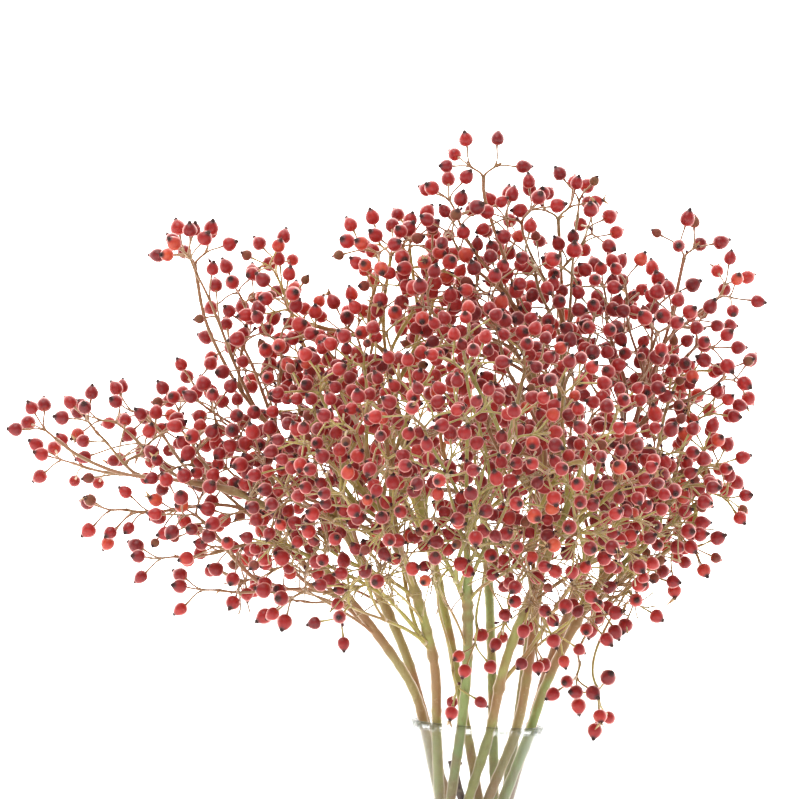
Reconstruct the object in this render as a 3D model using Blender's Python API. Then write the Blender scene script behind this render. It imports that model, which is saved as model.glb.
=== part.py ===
"""Rose hip sprigs in a waisted glass vase, standing on a surface.

Eleven cut sprigs and one cut-off twig stand crossed in a clear glass vase.  Each sprig is one grown
piece, and so one closed solid: a cane, its side twigs, their stalks and the hips.  The frame is +Z up
in metres, with its origin at the middle of the vase's flat foot.  The front of the bunch faces -Y.
"""

import math
import random
from dataclasses import dataclass, field

import bmesh
import bpy
import numpy as np
from mathutils import Vector

MM = 0.001

# The vase: a turned glass with a flared rim, a waist and a heavy foot.
VASE_HEIGHT = 150.0 * MM
FLOOR_THICKNESS = 10.0 * MM
WALL = 2.2 * MM
FOOT_RADIUS = 43.0 * MM
FOOT_EDGE = 3.0 * MM
FOOT_BEVEL = 1.0 * MM
FOOT_FLARE_HEIGHT = 30.0 * MM
VASE_SIDES = 24
VASE_LEVELS = 7

# The canes stand on one ring at the rim, cross at the waist and reach the far side of the foot.
CANE_RING_RADIUS = 27.8 * MM
CANE_TURN = math.radians(-120)
FIRST_CANE_ANGLE = math.radians(12)
CANE_PLACES = 12
CANE_FOOT_GAP = 1.6 * MM
CANE_TO_GLASS = 3.2 * MM
CANE_STRAIGHT_BELOW_RIM = 30.0 * MM

# The cut-off twig: which place of the ring it takes, and how far below the rim its cut end is.
STUB_PLACE = 4
STUB_TOP_BELOW_RIM = 21.0 * MM
STUB_RADIUS = 2.2 * MM
STUB_SIDES = 6
STUMP_BELOW_TOP = 4.0 * MM
STUMP_WAY = (1.6, 0.0, 0.3)
STUMP_LENGTH = 5.5 * MM
STUMP_RADIUS = 1.3 * MM
STUB_RINGS = 5

# A branch's cross-section grows by a share of a stalk's for each hip that it carries.
STALK_RADIUS = 0.45 * MM
AREA_PER_HIP = 0.36
CANE_RADIUS = 2.5 * MM
CANE_SIDES = 4
TWIG_SIDES = 3
TWIG_RADIUS = 1.15 * MM
GROUP_STALK_RADIUS = 0.65 * MM

# A twig is an arch: its inner points, how far its ends lead, and how far its ends turn to its hub.
TWIG_SHARES = (0.0, 0.25, 0.6, 1.0)
ARCH_LEAD = 0.36
ARCH_ARRIVAL = 0.34
LEAD_TURN = 1.1
ARRIVAL_TURN = 0.9
HEART = (-8.0, 20.0, 20.0)

# Where twigs leave: the spacing of nodes, and what makes a node a poor one for a twig.
NODE_SPACING = 7.0 * MM
FIRST_NODE_ABOVE_RIM = 14.0 * MM
FIRST_NODE_ON_TWIG = 9.0 * MM
LAST_NODE_BEFORE_END = 4.0 * MM
NODES_TRIED = 40
WIDE_FORK = math.radians(55)
NARROW_FORK = math.radians(22)
WIDE_FORK_COST = 1.6
NARROW_FORK_COST = 1.2
CLOSE_NODE = 5.0 * MM
CLOSE_NODE_COST = 40.0 * MM
TWIG_LENGTH = 55.0 * MM

# The skin's rings: round a fork, along a plain stretch and at a branch's end.
FORK_HALF_HEIGHT = 1.4 * MM
FORK_LEAST_HALF = 0.6 * MM
RING_SPACING = 9.0 * MM
CANE_STEP = 18.0 * MM
CROWN_POINT = 0.6

# Hips: an egg on the end of its stalk, in small groups that share a longer stalk.
HIP_RADIUS = 3.75 * MM
HIP_RADIUS_SPREAD = 0.12
HIP_LENGTH_SHARE = 2.15
HIP_SIDES = 3
HIP_RING_SHARE = 1.15
HIPS_PER_GROUP = 2.8
GROUP_STALK = 8.0 * MM
HIP_STALK = 11.0 * MM
HIP_CORE = (0.9, 1.25)
GROUP_LEAN = math.radians(50)
HIP_LEAN = math.radians(42)
CROWN_DEPTH = 12.0 * MM

# Least clear distance to what has already grown, and how often a shoot looks for a free way.
GAP = 0.45 * MM
TRIES = 30
FIRST_LOOSENESS = 0.08
MORE_LOOSENESS = 0.03
LENGTH_LOOSENESS = 0.55
TWIG_CLEAR_FROM = 0.3
SHOOT_CLEAR_FROM = 0.4
SEED = 14

# Colours, as linear red, green and blue.
CLEAR_GLASS = (0.95, 0.97, 0.95)
DARK_WOOD = (0.13, 0.09, 0.08)
GREEN_CANE = (0.33, 0.36, 0.12)
RED_HIP = (0.52, 0.03, 0.03)


@dataclass
class Plan:
    """Where one sprig goes, in millimetres from the middle of the rim: right, back, up.

    The place is the cane's place on the ring of canes, and the route is its line above the rim,
    which ends in a crown of tip_hips hips.  Each cluster is the middle of a further spray of hips and
    how many hips it has.
    """

    place: int
    tip_hips: int
    route: list
    clusters: list


PLANS = {
    "right_high_sprig": Plan(
        place=0,
        tip_hips=6,
        route=[(36, 13, 34), (50, 18, 78), (62, 18, 122), (74, 14, 165), (84, 8, 200), (90, 2, 238)],
        clusters=[
            ((110, 8, 250), 5), ((114, -6, 229), 6), ((66, -8, 226), 3), ((82, -20, 208), 8),
            ((104, -8, 204), 6), ((62, 14, 204), 7), ((119, 2, 187), 5), ((88, 32, 182), 7),
            ((68, -26, 180), 5), ((90, 34, 148), 7), ((44, 30, 150), 6), ((92, -8, 212), 6),
            ((56, 2, 224), 4), ((84, 16, 224), 5),
        ],
    ),
    "top_right_sprig": Plan(
        place=1,
        tip_hips=7,
        route=[(24, 29, 34), (30, 40, 90), (34, 36, 140), (33, 24, 190), (30, 14, 222), (26, 6, 254)],
        clusters=[
            ((8, -6, 262), 7), ((42, 0, 256), 5), ((40, -12, 230), 7), ((16, -16, 240), 7),
            ((48, -16, 208), 7), ((26, 46, 208), 7), ((56, 50, 168), 7), ((22, -10, 214), 7),
            ((10, 62, 158), 7), ((38, 8, 268), 3),
        ],
    ),
    "back_sprig": Plan(
        place=2,
        tip_hips=7,
        route=[(6, 39, 36), (2, 60, 80), (-4, 80, 116), (-10, 98, 152)],
        clusters=[
            ((-40, 100, 156), 7), ((18, 104, 158), 7), ((-70, 86, 148), 7), ((46, 90, 148), 7),
            ((74, 70, 138), 6), ((-30, 76, 192), 7), ((8, 76, 192), 7), ((-46, 84, 114), 7),
            ((22, 88, 110), 7), ((48, 66, 118), 6), ((-14, 64, 138), 7),
        ],
    ),
    "top_left_sprig": Plan(
        place=3,
        tip_hips=8,
        route=[(-15, 37, 38), (-28, 44, 85), (-42, 36, 130), (-54, 20, 170), (-59, 8, 200), (-57, 0, 230)],
        clusters=[
            ((-112, -4, 210), 7), ((-66, -20, 240), 8), ((-76, 12, 201), 7), ((-40, -14, 232), 8),
            ((-36, 12, 222), 7), ((-60, -30, 201), 5), ((-30, 42, 204), 6), ((-100, 22, 186), 7),
            ((-120, 14, 229), 7), ((-84, 46, 174), 7), ((-66, 38, 142), 7), ((-96, 34, 146), 6),
            ((-50, -6, 246), 6), ((-62, -14, 224), 7), ((-94, 4, 196), 6),
        ],
    ),
    "left_high_sprig": Plan(
        place=5,
        tip_hips=8,
        route=[
            (-38, 7, 32), (-56, 10, 66), (-78, 14, 100), (-102, 14, 130), (-128, 10, 158), (-147, 4, 190),
            (-155, 2, 220),
        ],
        clusters=[
            ((-160, -12, 224), 4), ((-136, 14, 212), 7), ((-158, 6, 160), 5), ((-146, -24, 148), 7),
            ((-136, 24, 190), 7), ((-116, -12, 192), 8), ((-136, -2, 122), 7), ((-114, 36, 122), 6),
            ((-110, 10, 78), 6), ((-98, -16, 166), 8), ((-88, -6, 136), 7), ((-112, -26, 120), 7),
            ((-126, 2, 176), 6), ((-110, 24, 168), 6),
        ],
    ),
    "far_left_sprig": Plan(
        place=6,
        tip_hips=4,
        route=[
            (-36, -13, 20), (-58, -24, 48), (-80, -30, 72), (-98, -32, 92), (-122, -30, 106),
            (-152, -26, 111), (-182, -20, 113), (-204, -14, 120), (-217, -10, 128),
        ],
        clusters=[
            ((-220, 4, 122), 3), ((-206, -24, 138), 4), ((-199, 0, 145), 5), ((-184, -14, 132), 3),
            ((-168, 2, 146), 5), ((-158, -26, 126), 6), ((-190, -22, 100), 3), ((-163, -32, 78), 3),
            ((-142, -26, 62), 3), ((-154, -38, 100), 8), ((-124, -14, 70), 5), ((-98, -38, 60), 3),
            ((-120, -40, 128), 8), ((-96, -58, 66), 7), ((-128, -46, 104), 7), ((-138, -6, 146), 6),
            ((-150, -34, 114), 5), ((-184, 0, 150), 6),
        ],
    ),
    "front_left_sprig": Plan(
        place=7,
        tip_hips=8,
        route=[(-24, -27, 30), (-36, -45, 66), (-52, -64, 100), (-68, -82, 138)],
        clusters=[
            ((-56, -102, 134), 8), ((-94, -80, 140), 8), ((-78, -98, 116), 8), ((-52, -96, 102), 7),
            ((-104, -66, 112), 8), ((-84, -74, 88), 8), ((-60, -72, 72), 7), ((-108, -58, 90), 6),
            ((-70, -56, 180), 8), ((-46, -84, 168), 8), ((-92, -60, 166), 8), ((-84, -34, 172), 8),
            ((-72, -84, 60), 6), ((-100, -76, 128), 7), ((-60, -80, 158), 7), ((-96, -44, 158), 7),
            ((-68, -20, 166), 7), ((-86, -92, 124), 7), ((-74, -92, 98), 7), ((-56, -86, 76), 5),
            ((-54, -50, 114), 6),
        ],
    ),
    "front_sprig": Plan(
        place=8,
        tip_hips=8,
        route=[(-8, -37, 34), (-11, -56, 76), (-14, -76, 112), (-16, -96, 146)],
        clusters=[
            ((-38, -108, 150), 8), ((8, -106, 148), 8), ((-26, -112, 128), 8), ((6, -100, 116), 8),
            ((-34, -92, 106), 8), ((-8, -88, 94), 7), ((-4, -60, 54), 3), ((12, -68, 184), 8),
            ((-20, -68, 192), 8), ((-16, -50, 28), 3), ((-18, -90, 178), 8), ((-10, -104, 112), 7),
            ((14, -92, 88), 6), ((-28, -86, 76), 3), ((-6, -96, 138), 7), ((16, -90, 150), 6),
            ((-12, -44, 118), 6),
        ],
    ),
    "front_right_sprig": Plan(
        place=9,
        tip_hips=8,
        route=[(11, -38, 34), (22, -54, 70), (32, -70, 102), (42, -88, 138)],
        clusters=[
            ((26, -100, 134), 8), ((64, -84, 130), 8), ((44, -92, 104), 8), ((64, -68, 98), 5),
            ((24, -72, 74), 6), ((50, -56, 62), 7), ((26, -50, 40), 5), ((32, -80, 172), 8),
            ((60, -64, 162), 6), ((20, -62, 128), 8), ((44, -78, 78), 7), ((32, -62, 54), 6),
            ((66, -72, 112), 7), ((40, -96, 122), 6), ((14, -48, 66), 4),
        ],
    ),
    "top_sprig": Plan(
        place=10,
        tip_hips=5,
        route=[
            (22, -23, 24), (25, -20, 62), (27, -10, 105), (22, -4, 150), (14, 0, 190), (4, 0, 222),
            (-6, -2, 246), (-12, -4, 262), (-13, -4, 272),
        ],
        clusters=[
            ((-26, -6, 264), 4), ((2, 8, 256), 5), ((-28, -14, 252), 8), ((-6, -26, 222), 8),
            ((4, 24, 230), 7), ((0, -36, 198), 8), ((-28, 20, 206), 7), ((16, 32, 176), 7),
            ((-22, 26, 158), 7), ((40, -36, 182), 8), ((-38, -36, 214), 8), ((-4, -20, 160), 7),
            ((-14, 10, 226), 6),
        ],
    ),
    "right_sprig": Plan(
        place=11,
        tip_hips=7,
        route=[(32, -9, 20), (44, -14, 50), (60, -16, 80), (80, -12, 104), (104, -8, 134)],
        clusters=[
            ((108, 6, 166), 7), ((117, -4, 128), 7), ((103, -14, 102), 7), ((92, -32, 108), 8),
            ((88, -36, 146), 8), ((98, 12, 188), 6), ((80, -18, 76), 6), ((66, -36, 76), 7),
            ((98, 24, 126), 7), ((56, -38, 36), 4), ((67, -32, 22), 5), ((60, -6, 128), 7),
            ((84, -24, 128), 7), ((92, -20, 96), 6), ((114, -6, 142), 8), ((96, -40, 128), 6),
        ],
    ),
}


@dataclass
class Branch:
    """One branch: its line, where it leaves its parent, and the hip at its end, if it has one."""

    points: np.ndarray
    sides: int = TWIG_SIDES
    shoots: list = field(default_factory=list)
    hip_radius: float = 0.0
    least: float = 0.0
    most: float = CANE_RADIUS

    def arcs(self):
        """Distance along the line to each of its points."""
        steps = np.linalg.norm(np.diff(self.points, axis=0), axis=1)
        return np.concatenate(([0.0], np.cumsum(steps)))

    def hips_beyond(self, arc=0.0):
        """How many hips the branch carries past a distance along its line."""
        carried = sum(shoot.hips_beyond() for place, shoot in self.shoots if place >= arc - 1e-6)
        return carried + (1 if self.hip_radius else 0)

    def radius(self, arc=0.0):
        """Half the thickness at a distance along the line."""
        extra = max(self.hips_beyond(arc) - 1, 0)
        return float(np.clip(STALK_RADIUS * math.sqrt(1 + AREA_PER_HIP * extra), self.least, self.most))

    def way(self):
        """The direction in which the branch leaves its parent."""
        return unit(self.points[1] - self.points[0])

    def spot(self, arc):
        """The point and the direction at a distance along the line."""
        arcs = self.arcs()
        point = np.array([np.interp(arc, arcs, self.points[:, axis]) for axis in range(3)])
        index = int(np.clip(np.searchsorted(arcs, arc, side="right") - 1, 0, len(arcs) - 2))
        return point, unit(self.points[index + 1] - self.points[index])


def unit(vector):
    """The vector at length 1."""
    return vector / np.linalg.norm(vector)


class Room:
    """All that has grown, as round-ended rods, so that new growth keeps clear of it."""

    def __init__(self):
        self.starts = np.empty((0, 3))
        self.ends = np.empty((0, 3))
        self.radii = np.empty(0)
        self.owners = np.empty(0, dtype=int)

    def add(self, start, end, radius, owner=None):
        """Fill one more rod, and note the branch that it belongs to."""
        self.starts = np.vstack((self.starts, start))
        self.ends = np.vstack((self.ends, end))
        self.radii = np.append(self.radii, radius)
        self.owners = np.append(self.owners, id(owner))

    def add_path(self, points, radius, owner=None):
        """Fill a line of rods."""
        for start, end in zip(points, points[1:]):
            self.add(start, end, radius, owner)

    def gap(self, start, end, radius, parent=None):
        """Least clear distance from a new rod to all rods but those of its parent."""
        along = end - start
        others = self.ends - self.starts
        offset = start - self.starts
        own = max(along @ along, 1e-12)
        theirs = np.maximum(np.einsum("ij,ij->i", others, others), 1e-12)
        across = others @ along
        shift = offset @ along
        reach = np.einsum("ij,ij->i", others, offset)
        spread = np.maximum(own * theirs - across * across, 1e-15)
        share = np.clip((across * reach - shift * theirs) / spread, 0.0, 1.0)
        other_share = np.clip((across * share + reach) / theirs, 0.0, 1.0)
        share = np.clip((across * other_share - shift) / own, 0.0, 1.0)
        apart = offset + share[:, None] * along - other_share[:, None] * others
        clear = np.linalg.norm(apart, axis=1) - self.radii
        return float(np.min(clear[self.owners != id(parent)], initial=1.0) - radius)

    def path_gap(self, points, radius, parent, skip):
        """Least clear distance along a line of points, from a share of its first step onwards."""
        first = points[0] + (points[1] - points[0]) * skip
        gaps = [self.gap(first, points[1], radius, parent)]
        gaps.extend(self.gap(start, end, radius) for start, end in zip(points[1:], points[2:]))
        return min(gaps)


def curve_through(points, spacing):
    """Points at an even spacing on the Catmull-Rom curve through the given ones, ends included."""
    ends = np.vstack((2 * points[0] - points[1], points, 2 * points[-1] - points[-2]))
    pieces = [points[:1]]
    for before, start, end, after in zip(ends, ends[1:], ends[2:], ends[3:]):
        count = max(int(round(np.linalg.norm(end - start) / spacing)), 1)
        t = np.linspace(0, 1, count + 1)[1:, None]
        bend = 2 * start + (end - before) * t
        bend = bend + (2 * before - 5 * start + 4 * end - after) * t**2
        bend = bend + (3 * start - before - 3 * end + after) * t**3
        pieces.append(bend / 2)
    return np.vstack(pieces)


def arch(start, lead, end, lead_out, shares):
    """Points on a cubic curve from start to end that leaves along lead and arrives along lead_out."""
    reach = np.linalg.norm(end - start)
    t = np.array(shares)[:, None]
    first = start + lead * reach * ARCH_LEAD
    second = end - lead_out * reach * ARCH_ARRIVAL
    left = (1 - t) ** 3 * start + 3 * (1 - t) ** 2 * t * first
    return left + 3 * (1 - t) * t**2 * second + t**3 * end


def tilted(direction, angle, turn):
    """The direction leaned over by an angle, towards the side that the turn picks."""
    helper = np.array((0.0, 0.0, 1.0)) if abs(direction[2]) < 0.9 else np.array((1.0, 0.0, 0.0))
    side = unit(np.cross(direction, helper))
    up = np.cross(side, direction)
    lean = math.cos(turn) * side + math.sin(turn) * up
    return math.cos(angle) * direction + math.sin(angle) * lean


def ring_point(angle, height):
    """A point on the ring of canes, at a height above the surface."""
    return np.array((CANE_RING_RADIUS * math.cos(angle), CANE_RING_RADIUS * math.sin(angle), height))


def cane_ends(place):
    """Where the cane at a place of the ring stands in the foot and crosses the rim."""
    angle = FIRST_CANE_ANGLE + place * math.tau / CANE_PLACES
    foot = ring_point(angle + CANE_TURN, FLOOR_THICKNESS + CANE_FOOT_GAP)
    return foot, ring_point(angle, VASE_HEIGHT)


def from_rim(points):
    """Points in metres above the surface, from millimetres above the rim."""
    return np.atleast_2d(np.array(points, dtype=float)) * MM + np.array((0.0, 0.0, VASE_HEIGHT))


def grow_cane(plan, room):
    """The cane of a sprig, from its cut foot through the rim and along its route."""
    foot, rim = cane_ends(plan.place)
    below = rim - unit(rim - foot) * CANE_STRAIGHT_BELOW_RIM
    line = curve_through(np.vstack((below, rim, from_rim(plan.route))), CANE_STEP)
    cane = Branch(points=np.vstack((foot, line)), sides=CANE_SIDES)
    room.add_path(cane.points, CANE_RADIUS, cane)
    return cane


def nodes_of(branch, first):
    """The places along a branch where a twig may leave: branch, distance, point and direction."""
    places = np.arange(first, branch.arcs()[-1] - LAST_NODE_BEFORE_END, NODE_SPACING)
    return [(branch, arc, *branch.spot(arc)) for arc in places]


def twig_cost(node, hub):
    """How poor a node is for a twig to a hub: the distance, raised by a flat or a backward angle."""
    branch, arc, point, along = node
    reach = hub - point
    length = np.linalg.norm(reach)
    angle = math.acos(float(np.clip(reach @ along / length, -1, 1)))
    too_wide = WIDE_FORK_COST * max(angle - WIDE_FORK, 0)
    too_narrow = NARROW_FORK_COST * max(NARROW_FORK - angle, 0)
    crowded = any(abs(place - arc) < CLOSE_NODE for place, _ in branch.shoots)
    reach_cost = TWIG_LENGTH + abs(length - TWIG_LENGTH)
    return reach_cost * (1 + too_wide + too_narrow) + (CLOSE_NODE_COST if crowded else 0)


def grow_twig(nodes, centre, heart, room):
    """The twig that carries a cluster: the cheapest one that stays clear of all other growth."""
    out = unit(centre - heart)
    hub = centre - out * CROWN_DEPTH
    ranked = sorted(nodes, key=lambda node: twig_cost(node, hub))
    for branch, arc, point, along in ranked[:NODES_TRIED]:
        reach = unit(hub - point)
        lead = unit(along + LEAD_TURN * reach)
        final = unit(out + ARRIVAL_TURN * reach)
        line = arch(point, lead, hub, final, TWIG_SHARES)
        if room.path_gap(line, TWIG_RADIUS, branch, TWIG_CLEAR_FROM) > GAP:
            twig = Branch(points=line, most=TWIG_RADIUS)
            branch.shoots.append((arc, twig))
            room.add_path(line, TWIG_RADIUS, twig)
            return twig
    return None


def hip_core(end, way, hip_radius):
    """The two ends of the rod that stands for a hip in the room: the middle stretch of its axis."""
    near, far = HIP_CORE
    return end + way * hip_radius * near, end + way * hip_radius * far


def clear_shoot(rng, room, parent, direction, length, radius, hip_radius=0.0):
    """The end of a straight shoot near the direction asked for that is clear, or None."""
    start = parent.points[-1]
    for attempt in range(TRIES):
        loose = FIRST_LOOSENESS + MORE_LOOSENESS * attempt
        spread = LENGTH_LOOSENESS * loose
        way = tilted(direction, abs(rng.gauss(0, loose)), rng.uniform(0, math.tau))
        end = start + way * length * rng.uniform(1 - spread, 1 + spread)
        if room.path_gap(np.vstack((start, end)), radius, parent, SHOOT_CLEAR_FROM) < GAP:
            continue
        if hip_radius and room.gap(*hip_core(end, way, hip_radius), hip_radius) < GAP:
            continue
        return end, way
    return None


def grow_crown(rng, twig, hips, room):
    """The groups of hips at the end of a twig."""
    out = unit(twig.points[-1] - twig.points[-2])
    groups = max(int(round(hips / HIPS_PER_GROUP)), 1)
    first_turn = rng.uniform(0, math.tau)
    end_arc = twig.arcs()[-1]
    for index in range(groups):
        share = hips // groups + (1 if index < hips % groups else 0)
        way = tilted(out, GROUP_LEAN if groups > 1 else 0.0, first_turn + index * math.tau / groups)
        found = clear_shoot(rng, room, twig, way, GROUP_STALK, GROUP_STALK_RADIUS)
        if not found:
            continue
        stalk = Branch(points=np.vstack((twig.points[-1], found[0])))
        grow_hips(rng, stalk, found[1], share, room)
        if stalk.shoots:
            room.add_path(stalk.points, GROUP_STALK_RADIUS, stalk)
            twig.shoots.append((end_arc, stalk))


def grow_hips(rng, stalk, out, hips, room):
    """The hips at the end of a shared stalk, each on a stalk of its own."""
    joint = stalk.points[-1]
    first_turn = rng.uniform(0, math.tau)
    for index in range(hips):
        way = tilted(out, HIP_LEAN if hips > 1 else 0.0, first_turn + index * math.tau / hips)
        radius = HIP_RADIUS * rng.uniform(1 - HIP_RADIUS_SPREAD, 1 + HIP_RADIUS_SPREAD)
        found = clear_shoot(rng, room, stalk, way, HIP_STALK, STALK_RADIUS, radius * HIP_RING_SHARE)
        if not found:
            continue
        end, way = found
        own = Branch(points=np.vstack((joint, end)), hip_radius=radius)
        stalk.shoots.append((stalk.arcs()[-1], own))
        room.add(joint + (end - joint) * SHOOT_CLEAR_FROM, end, STALK_RADIUS, own)
        room.add(*hip_core(end, way, radius), radius * HIP_RING_SHARE, own)


def grow_all():
    """Every sprig as a tree of branches: first the canes, then the twigs, then stalks and hips."""
    room = Room()
    heart = from_rim(HEART)[0]
    canes = {name: grow_cane(plan, room) for name, plan in PLANS.items()}
    twigs = []
    for name, plan in PLANS.items():
        cane = canes[name]
        twigs.append((cane, plan.tip_hips))
        foot, rim = cane_ends(plan.place)
        nodes = nodes_of(cane, np.linalg.norm(rim - foot) + FIRST_NODE_ABOVE_RIM)
        for centre, hips in plan.clusters:
            twig = grow_twig(nodes, from_rim(centre)[0], heart, room)
            if twig:
                nodes.extend(nodes_of(twig, FIRST_NODE_ON_TWIG))
                twigs.append((twig, hips))
    rng = random.Random(SEED)
    for twig, hips in twigs:
        grow_crown(rng, twig, hips, room)
    return canes


class Skin:
    """The closed surface of one tree of branches, drawn ring by ring without any cut."""

    def __init__(self):
        self.points = []
        self.faces = []
        self.finishes = []
        self.finish = 0

    def add_point(self, point):
        """One point, as its number."""
        self.points.append(point)
        return len(self.points) - 1

    def add_face(self, corners):
        """One face in the finish that is being drawn."""
        self.faces.append(tuple(corners))
        self.finishes.append(self.finish)

    def add_ring(self, centre, side, up, radius, sides, phase=0.0):
        """A ring of points round a centre, as the numbers of its points."""
        first = len(self.points)
        for angle in phase + np.arange(sides) * math.tau / sides:
            self.points.append(centre + radius * (math.cos(angle) * side + math.sin(angle) * up))
        return list(range(first, first + sides))

    def matched(self, low, high):
        """The upper loop, turned so that its points stand over those of the lower loop."""
        below = np.array([self.points[index] for index in low])
        above = np.array([self.points[index] for index in high])
        places = np.arange(len(low)) * len(high) // len(low)

        def mismatch(shift):
            """How far apart the paired points are in sum."""
            return np.linalg.norm(below - above[(places + shift) % len(high)], axis=1).sum()

        best = min(range(len(high)), key=mismatch)
        return high[best:] + high[:best]

    def bridge(self, low, high):
        """Triangles between two loops, which may have different numbers of points."""
        high = self.matched(low, high)
        a = 0
        b = 0
        while a < len(low) or b < len(high):
            corner_low = low[a % len(low)]
            corner_high = high[b % len(high)]
            if b == len(high) or (a < len(low) and (a + 0.5) / len(low) < (b + 0.5) / len(high)):
                a += 1
                self.add_face((corner_low, low[a % len(low)], corner_high))
            else:
                b += 1
                self.add_face((corner_low, high[b % len(high)], corner_high))

    def choose(self, middles, turns):
        """For each shoot, the side that faces its way best and that no shoot before it has taken."""
        free = list(range(len(middles)))
        chosen = []
        for turn in turns:
            misses = [abs(math.remainder(middles[side] - turn, math.tau)) for side in free]
            chosen.append(free.pop(int(np.argmin(misses))))
        return chosen

    def fork(self, low, centre, along, side, up, radius, shoots):
        """A short stretch of branch whose side faces are left open for the shoots that leave there."""
        sides = max(len(low), len(shoots))
        turns = [math.atan2(shoot.way() @ up, shoot.way() @ side) for shoot in shoots]
        phase = turns[0] - math.pi / sides
        half = FORK_HALF_HEIGHT * radius / CANE_RADIUS + FORK_LEAST_HALF
        start = self.add_ring(centre - along * half, side, up, radius, sides, phase)
        end = self.add_ring(centre + along * half, side, up, radius, sides, phase)
        self.bridge(low, start)
        middles = phase + (np.arange(sides) + 0.5) * math.tau / sides
        hosts = dict(zip(self.choose(middles, turns), shoots))
        for k in range(sides):
            after = (k + 1) % sides
            quad = [start[k], start[after], end[after], end[k]]
            if k in hosts:
                self.cover(hosts[k], quad)
            else:
                self.add_face(quad)
        return end

    def crown(self, low, centre, along, side, up, radius, shoots):
        """The end of a branch: a ring and a blunt point, with a shoot on each face between them."""
        sides = max(3, len(shoots))
        turns = [math.atan2(shoot.way() @ up, shoot.way() @ side) for shoot in shoots]
        phase = turns[0] - math.pi / sides
        ring = self.add_ring(centre, side, up, radius, sides, phase)
        self.bridge(low, ring)
        tip = self.add_point(centre + along * radius * CROWN_POINT)
        middles = phase + (np.arange(sides) + 0.5) * math.tau / sides
        hosts = dict(zip(self.choose(middles, turns), shoots))
        for k in range(sides):
            face = [ring[k], ring[(k + 1) % sides], tip]
            if k in hosts:
                self.cover(hosts[k], face)
            else:
                self.add_face(face)

    def cover(self, branch, base=None):
        """The surface of a branch and of all that grows from it, from an open loop or from a cut end."""
        arcs = branch.arcs()
        along = branch.way()
        side = tilted(along, math.pi / 2, 0.0)
        groups = {}
        for arc, shoot in branch.shoots:
            groups.setdefault(arc, []).append(shoot)
        plain = [arc for arc in arcs[1:] if all(abs(arc - place) > RING_SPACING for place in groups)]
        if base is None:
            up = np.cross(along, side)
            base = self.add_ring(branch.points[0], side, up, branch.radius(), branch.sides)
            self.add_face(reversed(base))
        loop = base
        for arc in sorted([*plain, *groups]):
            centre, along = branch.spot(arc)
            side = unit(side - along * (side @ along))
            up = np.cross(along, side)
            radius = branch.radius(arc)
            if arc not in groups:
                ring = self.add_ring(centre, side, up, radius, branch.sides)
                self.bridge(loop, ring)
                loop = ring
            elif arc < arcs[-1]:
                loop = self.fork(loop, centre, along, side, up, radius, groups[arc])
            else:
                self.crown(loop, centre, along, side, up, radius, groups[arc])
                loop = None
        if branch.hip_radius:
            self.close_with_hip(loop, branch, along, side)
        elif loop:
            self.add_face(loop)

    def close_with_hip(self, loop, branch, along, side):
        """A hip at the end of its stalk: one ring at its widest and a point at its far end."""
        up = np.cross(along, side)
        size = branch.hip_radius
        self.finish = 1
        middle = branch.points[-1] + along * size
        ring = self.add_ring(middle, side, up, size * HIP_RING_SHARE, HIP_SIDES)
        self.bridge(loop, ring)
        tip = self.add_point(branch.points[-1] + along * size * HIP_LENGTH_SHARE)
        for corner, after in zip(ring, ring[1:] + ring[:1]):
            self.add_face((corner, after, tip))
        self.finish = 0


def glass_radius(height):
    """The inside of the vase: as wide as the ring of crossing canes at each height."""
    foot = FLOOR_THICKNESS + CANE_FOOT_GAP
    share = np.clip((height - foot) / (VASE_HEIGHT - foot), 0, 1)
    spread = (1 - share) ** 2 + share**2 + 2 * share * (1 - share) * math.cos(CANE_TURN)
    return CANE_RING_RADIUS * np.sqrt(spread) + CANE_TO_GLASS


def vase_profile():
    """The vase's outline as (radius, height) pairs, from the foot's middle round to the floor's middle."""
    outer_heights = np.linspace(FOOT_EDGE, VASE_HEIGHT, VASE_LEVELS + 1)
    spread = FOOT_RADIUS - (glass_radius(outer_heights[0]) + WALL)
    flare = spread * np.clip(1 - (outer_heights - FOOT_EDGE) / FOOT_FLARE_HEIGHT, 0, 1) ** 2
    outer = glass_radius(outer_heights) + WALL + flare
    inner_heights = np.linspace(VASE_HEIGHT, FLOOR_THICKNESS, VASE_LEVELS + 1)
    profile = [(0.0, 0.0), (FOOT_RADIUS - FOOT_BEVEL, 0.0)]
    profile.extend(zip(outer, outer_heights))
    profile.extend(zip(glass_radius(inner_heights), inner_heights))
    profile.append((0.0, FLOOR_THICKNESS))
    return profile


def new_material(name, colour, roughness, transmission=0.0):
    """A Principled material."""
    material = bpy.data.materials.new(name)
    material.use_nodes = True
    shader = material.node_tree.nodes["Principled BSDF"]
    shader.inputs["Base Color"].default_value = (*colour, 1.0)
    shader.inputs["Roughness"].default_value = roughness
    shader.inputs["Metallic"].default_value = 0.0
    shader.inputs["Transmission Weight"].default_value = transmission
    return material


def add_object(name, mesh, materials):
    """A named object in the scene with its materials."""
    for material in materials:
        mesh.materials.append(material)
    bpy.context.collection.objects.link(bpy.data.objects.new(name, mesh))


def mesh_of(name, skin):
    """A Blender mesh of a skin."""
    mesh = bpy.data.meshes.new(name)
    mesh.from_pydata([Vector(point) for point in skin.points], [], skin.faces)
    mesh.polygons.foreach_set("material_index", skin.finishes)
    mesh.shade_smooth()
    mesh.set_sharp_from_angle(angle=math.radians(60))
    return mesh


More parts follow.
